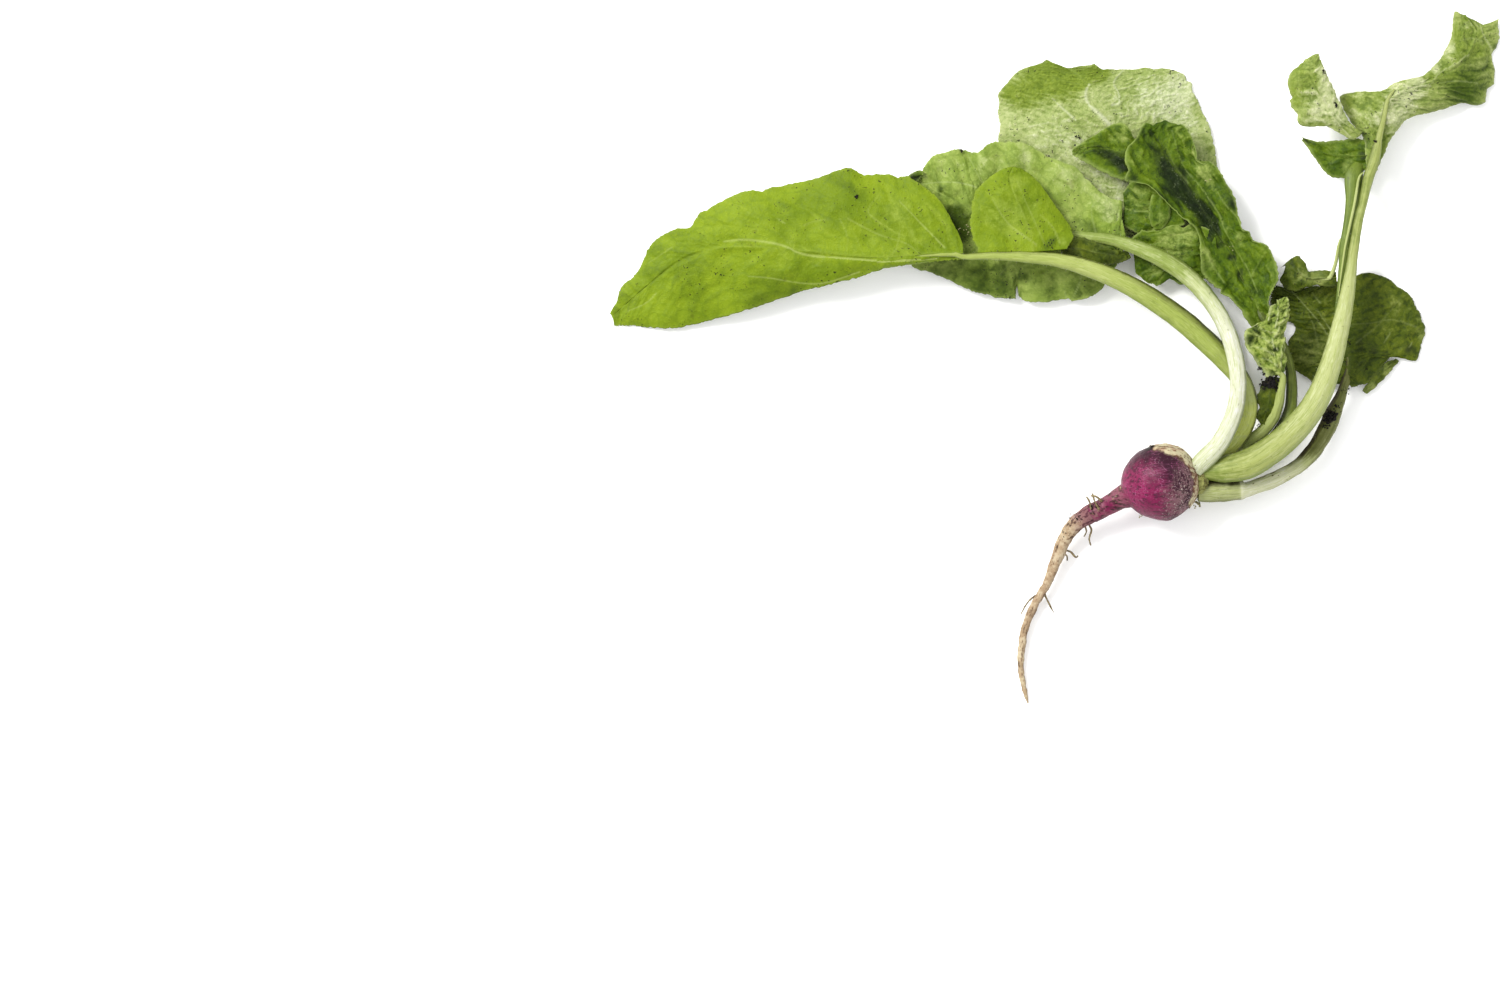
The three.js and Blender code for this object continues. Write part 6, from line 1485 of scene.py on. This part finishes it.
husk = graph.mix(husk, colour(128, 88, 66),
                 graph.read("dust") * graph.ramp(fine + (cloud - 0.5) * 0.5, 0.42, 0.56) * 0.8)
base = graph.mix(base, husk, graph.read("tan_skin"))
edge = graph.read("tan_skin") * (1 - graph.read("tan_skin")) * 4
base = graph.mix(base, colour(70, 34, 36), edge * 0.6)
base = graph.mix(base, colour(34, 20, 20), graph.ramp(graph.read("tip"), 0.3, 0.7))
relief = fine * 0.5 + streaks * 0.3 + pits * 0.2
gloss = 0.5 + 0.25 * graph.read("dust") + 0.4 * graph.read("tan_skin") + 0.15 * (fine - 0.5)
feed(shader, Base_Color=base, Roughness=gloss.reckon("MINIMUM", 0.95),
     Coat_Weight=0.04 * (1 - graph.read("tan_skin")), Normal=raise_bumps(graph, relief, 0.22 * MM, 0.8))
mesh.materials.append(material)
place_piece("bulb_skin", mesh, "bulb_skin", "bulb")
print("bulb", len(mesh.polygons), "faces")

# %% [markdown]
# ## The taproot and its rootlets
#
# Below the neck the root turns tan, wavers and tapers to a thread. Swept rods serve here as well, round
# instead of flattened and lumpier. The rootlets are hair-thin, so each gets only a few sides. They share the
# bark of the root, and their tone of 0 makes them darker than it is.

# %% Root finish
material, graph, shader, place = new_finish("root bark", Roughness=0.8, Specular_IOR_Level=0.25)
run, side, rise = (graph.read(label) for label in ("run", "side", "rise"))
spread = graph.point(side * 1.6, rise * 1.6, run * 260)
rings = graph.grain(spread, 1.4, 4, 0.65)
fine = graph.grain(place, 1400, 3, 0.6)
blotch = graph.grain(place, 320, 3, 0.6)
base = graph.mix(colour(222, 202, 168), colour(186, 158, 124),
                 graph.ramp(blotch + (fine - 0.5) * 0.6, 0.35, 0.62))
base = graph.mix(base, colour(112, 78, 54), graph.ramp(rings + (fine - 0.5) * 0.5, 0.54, 0.68) * 0.8)
upper_end = graph.ramp(run, 16 * MM, 5 * MM)
base = graph.mix(base, colour(58, 38, 32),
                 graph.ramp(blotch * 0.5 + rings * 0.5 + upper_end * 0.06, 0.57, 0.64) * 0.9)
base = graph.mix(base, colour(96, 64, 50),
                 graph.ramp(side * -1 + (blotch - 0.5), 0.4, 1.0) * (0.3 + 0.5 * upper_end))
base = graph.tint(base, (1.14, 1.2, 1.2), graph.ramp(run, 34 * MM, 46 * MM))
flush = graph.ramp(run + (blotch - 0.5) * (8 * MM), 9 * MM, 2 * MM) * graph.read("tone")
base = graph.mix(base, colour(136, 70, 92), flush * 0.85)
base = graph.mix(base, colour(74, 32, 42), flush * graph.ramp(rings + (fine - 0.5) * 0.6, 0.5, 0.64) * 0.8)
base = graph.tint(base, (0.6, 0.6, 0.46), 1 - graph.read("tone"))
feed(shader, Base_Color=base, Roughness=0.7 + 0.2 * fine,
     Normal=raise_bumps(graph, rings * 0.6 + fine * 0.4, 0.22 * MM, 0.8))
root_bark = material

# %% Taproot and rootlets
TAPROOT = [
    (-15.5, -6.9, 6.7, 4.6), (-17.5, -7.9, 6.1, 4.7), (-20.6, -9.9, 5.3, 4.1), (-23.6, -13.8, 4.2, 3.5),
    (-25.6, -18.6, 3.4, 3), (-28.2, -25, 2.6, 2.2), (-31, -30, 2.1, 2), (-33.5, -35.6, 1.7, 2),
    (-34.5, -41, 1.5, 1.8), (-34.8, -46, 1.3, 1.6), (-34, -51, 1.2, 1.3), (-33, -55, 1.1, 0.4)]
ROOTLETS = [
    [(-17.2, -7, 8), (-17.6, -4.8, 8.4), (-18.4, -3.4, 8.8)],
    [(-15.2, -6.6, 8.8), (-16.4, -4.4, 9.4), (-16.9, -2.6, 9.4)],
    [(-14.6, -4.6, 9), (-16, -3.4, 9.8), (-17.2, -3.2, 9.6)],
    [(-18.9, -8.8, 5.6), (-17.2, -11.6, 4.4), (-17.7, -14, 3.2), (-17.3, -15.6, 2.4)],
    [(-19.4, -9.6, 5.2), (-18.4, -12, 4.4), (-19, -13.4, 3.8)],
    [(-24.6, -16.6, 3.6), (-22.4, -17.2, 3.2), (-21, -18.6, 2.6), (-20.5, -18.2, 2.4)],
    [(-24.8, -17.4, 3.4), (-23.3, -18.2, 3), (-23.2, -19.4, 2.6)],
    [(-29.2, -27, 2.4), (-28, -29.6, 1.8), (-26.6, -32.4, 1.2)],
    [(-29.8, -27.7, 2.2), (-31.2, -28.2, 2), (-33.1, -29.9, 1.6), (-34.8, -32.8, 1.2)],
]
tree = sweep_tree("sweep root", root_bark, 28, 3)
mesh = grow("root_bark", chain_mesh("chain_root", TAPROOT, 200, [(0, 1), (1, 1)]), tree,
            {"Flatness": 0.95, "Ridge": 0.05, "Lump": 0.45 * MM, "Lump Scale": 420, "Step": 0.3 * MM})
place_piece("root_bark", mesh, "root_skin", "taproot")
tree = sweep_tree("sweep rootlet", root_bark, 7, 2)
for number, path in enumerate(ROOTLETS):
    tapered = [(*point, 0.62 - 0.3 * k / (len(path) - 1)) for k, point in enumerate(path)]
    mesh = grow(f"rootlet_{number}", chain_mesh(f"chain_rootlet_{number}", tapered, 40), tree,
                {"Flatness": 1, "Lump": 0.2 * MM, "Lump Scale": 700, "Step": 0.25 * MM})
    place_piece(f"rootlet_{number}", mesh, "root_skin")

# %% [markdown]
# ## The crown
#
# The short collar between bulb and stalks, with the scars of leaves that have dropped. It is mostly hidden,
# so a lumpy ball with ridges that run towards the stalks is enough.

# %% Crown
CROWN_MIDDLE = np.array([9.3, 1.1, 8.4])
CROWN_HALVES = np.array([2.8, 4.9, 4.4])
CROWN_RINGS = 70
CROWN_SIDES = 110
polar = np.linspace(0.02, math.pi - 0.02, CROWN_RINGS)[:, None]
around = np.linspace(0, 2 * math.pi, CROWN_SIDES, endpoint=False)[None]
globe = [-np.cos(polar) + 0 * around, np.sin(polar) * np.cos(around), np.sin(polar) * np.sin(around)]
globe = np.stack(globe, -1).reshape(-1, 3)
scars = 0.35 * np.abs(swell(globe * (1.2, 5, 5), 1.1)) + 0.2 * swell(globe * 6, 1.0)
places = CROWN_MIDDLE + globe * CROWN_HALVES * (1 - 0.12 + 0.3 * scars)[:, None]
mesh = bpy.data.meshes.new("crown_skin")
mesh.from_pydata((places * MM).tolist(), [], [face[::-1] for face in tube_faces(CROWN_RINGS, CROWN_SIDES)])
mesh.shade_smooth()

material, graph, shader, place = new_finish("crown skin", Roughness=0.7, Specular_IOR_Level=0.3)
long_way = graph.add("ShaderNodeMapping", {"vector_type": "POINT"},
                     {"Vector": place, "Scale": (0.5, 2, 2)})[0]
streaks = graph.grain(long_way, 500, 4, 0.6)
fine = graph.grain(place, 1100, 3, 0.6)
across = graph.add("ShaderNodeSeparateXYZ", {}, {0: place})[1] + (streaks - 0.5) * (4 * MM)
green = graph.mix(colour(176, 178, 98), colour(126, 122, 56),
                  graph.ramp(streaks + (fine - 0.5) * 0.6, 0.38, 0.6))
cream = graph.mix(colour(226, 218, 170), colour(186, 164, 112),
                  graph.ramp(streaks + (fine - 0.5) * 0.6, 0.4, 0.62))
base = graph.mix(green, cream, graph.ramp(across, 1.5 * MM, 4 * MM))
base = graph.mix(base, colour(72, 54, 30), graph.ramp(streaks + (fine - 0.5) * 0.8, 0.58, 0.7) * 0.7)
feed(shader, Base_Color=base, Roughness=0.6 + 0.25 * fine,
     Normal=raise_bumps(graph, streaks * 0.6 + fine * 0.4, 0.3 * MM, 0.8))
mesh.materials.append(material)
place_piece("crown_skin", mesh, "crown_skin", "crown")

# %% [markdown]
# ## Soil, flakes and hairs
#
# Pulled from its bed, the plant carries crumbs of black soil where leaves catch them, and a few flakes of dry
# skin beside the bulb. The stalks carry short stiff hairs. Both are shapes repeated hundreds of times, so two
# small trees strew them: crumbs on points laid out in lists and by chance, hairs all over the stalks' faces.

# %% The tree that strews crumbs
def crumb_tree(name, material):
    """A tree that puts a rough crumb on every point, of the size that the point carries."""
    tree, graph, given = new_tree(name, {"Seed": 4})
    ball = graph.add("GeometryNodeMeshIcoSphere", {}, {"Radius": 1.0, "Subdivisions": 1})[0]
    size = graph.add("GeometryNodeInputNamedAttribute", {"data_type": "FLOAT"}, {"Name": "width"})[0]
    kind = {"data_type": "FLOAT_VECTOR"}
    shape = graph.add("FunctionNodeRandomValue", kind,
                      {0: (0.6, 0.6, 0.4), 1: (1.3, 1.2, 0.8), 8: given["Seed"]})[0]
    turn = graph.add("FunctionNodeRandomValue", kind,
                     {0: (0, 0, 0), 1: (6.3, 6.3, 6.3), 8: given["Seed"] + 1})[0]
    turn = graph.add("FunctionNodeEulerToRotation", {}, {0: turn})[0]
    scale = graph.add("ShaderNodeVectorMath", {"operation": "SCALE"}, {0: shape, 3: size})[0]
    crumbs = graph.add("GeometryNodeInstanceOnPoints", {}, {
        "Points": given["Geometry"], "Instance": ball, "Rotation": turn, "Scale": scale})[0]
    close_tree(graph, crumbs, material)
    return tree


def strew(name, heaps, seed):
    """Points for crumbs. A heap is x, y, z, its spread, how many crumbs and their size, in millimetres."""
    draw = np.random.default_rng(seed)
    places, sizes = [], []
    for x, y, z, spread, count, size in heaps:
        away = draw.normal(0, spread / 2, (count, 3)) * (1, 1, 0.25)
        places.append(np.array([*true_places((x, y), z), z]) + away)
        sizes.append(size * draw.uniform(0.4, 1, count))
    places, sizes = np.vstack(places), np.concatenate(sizes)
    places[:, 2] = np.maximum(places[:, 2], sizes)
    mesh = bpy.data.meshes.new(name)
    mesh.from_pydata((places * MM).tolist(), [], [])
    carry(mesh, "width", sizes * MM)
    return mesh


# %% Soil and flakes
SOIL = [
    (42.4, 16.6, 6, 1.4, 70, 0.7), (41.6, 14.6, 6, 1, 12, 0.35), (43.8, 19, 5.6, 1.6, 14, 0.3),
    (27.6, 25.2, 10.6, 1.6, 90, 0.6), (25.8, 24.4, 9.6, 0.9, 24, 0.45), (24.9, 28.8, 11.6, 0.7, 16, 0.35),
    (25.9, 27.4, 11, 0.5, 10, 0.3), (29, 23.8, 10, 0.8, 16, 0.35), (24.3, 14.2, 7, 0.8, 8, 0.25),
    (-75.9, 71.7, 10.8, 0.5, 9, 0.4), (-49.6, 83.1, 5.8, 0.4, 8, 0.35), (53.8, 85.5, 11, 0.3, 5, 0.35),
    (40.9, 102.7, 13.6, 0.5, 9, 0.4), (44.2, 94.4, 12.6, 0.6, 9, 0.35), (51.6, 87.4, 8.8, 1.4, 14, 0.22),
    (-20.6, 86.5, 3, 0.6, 9, 0.35), (-23.6, 89.2, 3, 0.7, 8, 0.25), (-33, 91, 2.6, 0.6, 5, 0.22),
    (-27.5, 83, 3, 0.8, 6, 0.22), (-27.6, 59.8, 13.6, 1.2, 16, 0.25), (-33.5, 73, 12.2, 0.8, 4, 0.22),
    (-48.4, 61.4, 8.4, 1.4, 10, 0.2), (10.9, 58.9, 7.4, 0.3, 4, 0.3), (47.4, 35.2, 4.2, 0.5, 6, 0.3),
    (46, 23, 5.4, 1.2, 16, 0.25), (45, 26.6, 5, 1, 12, 0.22), (9.6, -4.6, 8, 0.8, 6, 0.2),
    (-1.7, 8.6, 12.6, 0.8, 12, 0.3), (8.6, 3, 14, 2, 26, 0.18), (-64.5, 54.6, 11.2, 0.6, 6, 0.25),
    (-15.5, -5.9, 8.9, 1.5, 60, 0.22), (-16.8, -6.4, 8.6, 1, 24, 0.2), (-20.6, -8.6, 7.4, 1.6, 24, 0.25),
    (-23.4, -12.2, 6, 1.4, 14, 0.25), (-22, -8.8, 6.2, 1.4, 10, 0.25), (11.4, 1.2, 11.6, 0.8, 6, 0.2),
    (0.6, 77.6, 9.4, 3, 16, 0.15), (9.6, 69, 8.2, 2.6, 16, 0.15), (16.6, 60, 7.2, 1.2, 8, 0.18),
]
FLAKES = [
    (-4.7, -7.6, 8.4, 1, 12, 0.4), (-9.4, -1, 11.4, 1, 7, 0.3), (-11.4, -3.6, 10.6, 1.6, 6, 0.2),
    (9.6, -5.3, 7.6, 0.7, 9, 0.65), (8.7, -5.8, 7, 0.5, 4, 0.35), (-48.6, 63.2, 8.8, 2, 10, 0.3),
    (17.6, 58.8, 7.6, 1.2, 8, 0.2), (12.2, 75.6, 9.8, 0.8, 6, 0.25),
]
material, graph, shader, place = new_finish("black soil", Specular_IOR_Level=0.2)
grit = graph.grain(place, 1600, 3, 0.7)
feed(shader, Base_Color=graph.mix(colour(16, 14, 14), colour(62, 52, 40), graph.ramp(grit, 0.45, 0.75)),
     Roughness=0.7 + 0.3 * grit)
mesh = grow("soil", strew("soil_points", SOIL, 8), crumb_tree("strew soil", material), {"Seed": 4})
place_piece("soil", mesh, "root_skin")

material, graph, shader, place = new_finish("dry flakes", Specular_IOR_Level=0.2)
grit = graph.grain(place, 900, 3, 0.7)
feed(shader, Base_Color=graph.mix(colour(206, 198, 150), colour(150, 146, 96), graph.ramp(grit, 0.4, 0.65)),
     Roughness=0.6 + 0.3 * grit)
mesh = grow("flakes", strew("flake_points", FLAKES, 9), crumb_tree("strew flakes", material), {"Seed": 6})
place_piece("flakes", mesh, "crown_skin")


# %% The tree that grows hairs
def hair_tree(name, material):
    """A tree that grows thin tilted hairs out of the faces of a mesh."""
    tree, graph, given = new_tree(name, {"Density": 2e5, "Length": 0.7 * MM, "Seed": 2})
    points, _, upright = graph.add("GeometryNodeDistributePointsOnFaces", {}, {
        "Mesh": given["Geometry"], "Density": given["Density"], "Seed": given["Seed"]})
    hair = graph.add("GeometryNodeMeshCone", {"fill_type": "NONE"}, {
        "Vertices": 3, "Radius Top": 0.0, "Radius Bottom": 0.03 * MM, "Depth": given["Length"]})[0]
    kind = {"data_type": "FLOAT_VECTOR"}
    tilt = graph.add("FunctionNodeRandomValue", kind,
                     {0: (-0.7, -0.7, 0), 1: (0.7, 0.7, 3), 8: given["Seed"]})[0]
    tilt = graph.add("FunctionNodeEulerToRotation", {}, {0: tilt})[0]
    turn = graph.add("FunctionNodeRotateRotation", {"rotation_space": "LOCAL"}, {0: upright, 1: tilt})[0]
    hairs = graph.add("GeometryNodeInstanceOnPoints", {},
                      {"Points": points, "Instance": hair, "Rotation": turn})[0]
    close_tree(graph, hairs, material)
    return tree


# %% Hairs on the stalks
material, graph, shader, place = new_finish("stalk hairs", Roughness=0.5, Specular_IOR_Level=0.3)
feed(shader, Base_Color=graph.mix(colour(232, 236, 204), colour(196, 204, 146), graph.grain(place, 300)))
hairs = hair_tree("grow hairs", material)
for number, label in enumerate(STALKS):
    stalk = bpy.data.objects[f"rod_{label}"].data.copy()
    mesh = grow(f"hairs_{label}", stalk, hairs, {"Seed": number + 1})
    place_piece(f"hairs_{label}", mesh, STALK_SLOTS.get(label, "lime_stalk"))
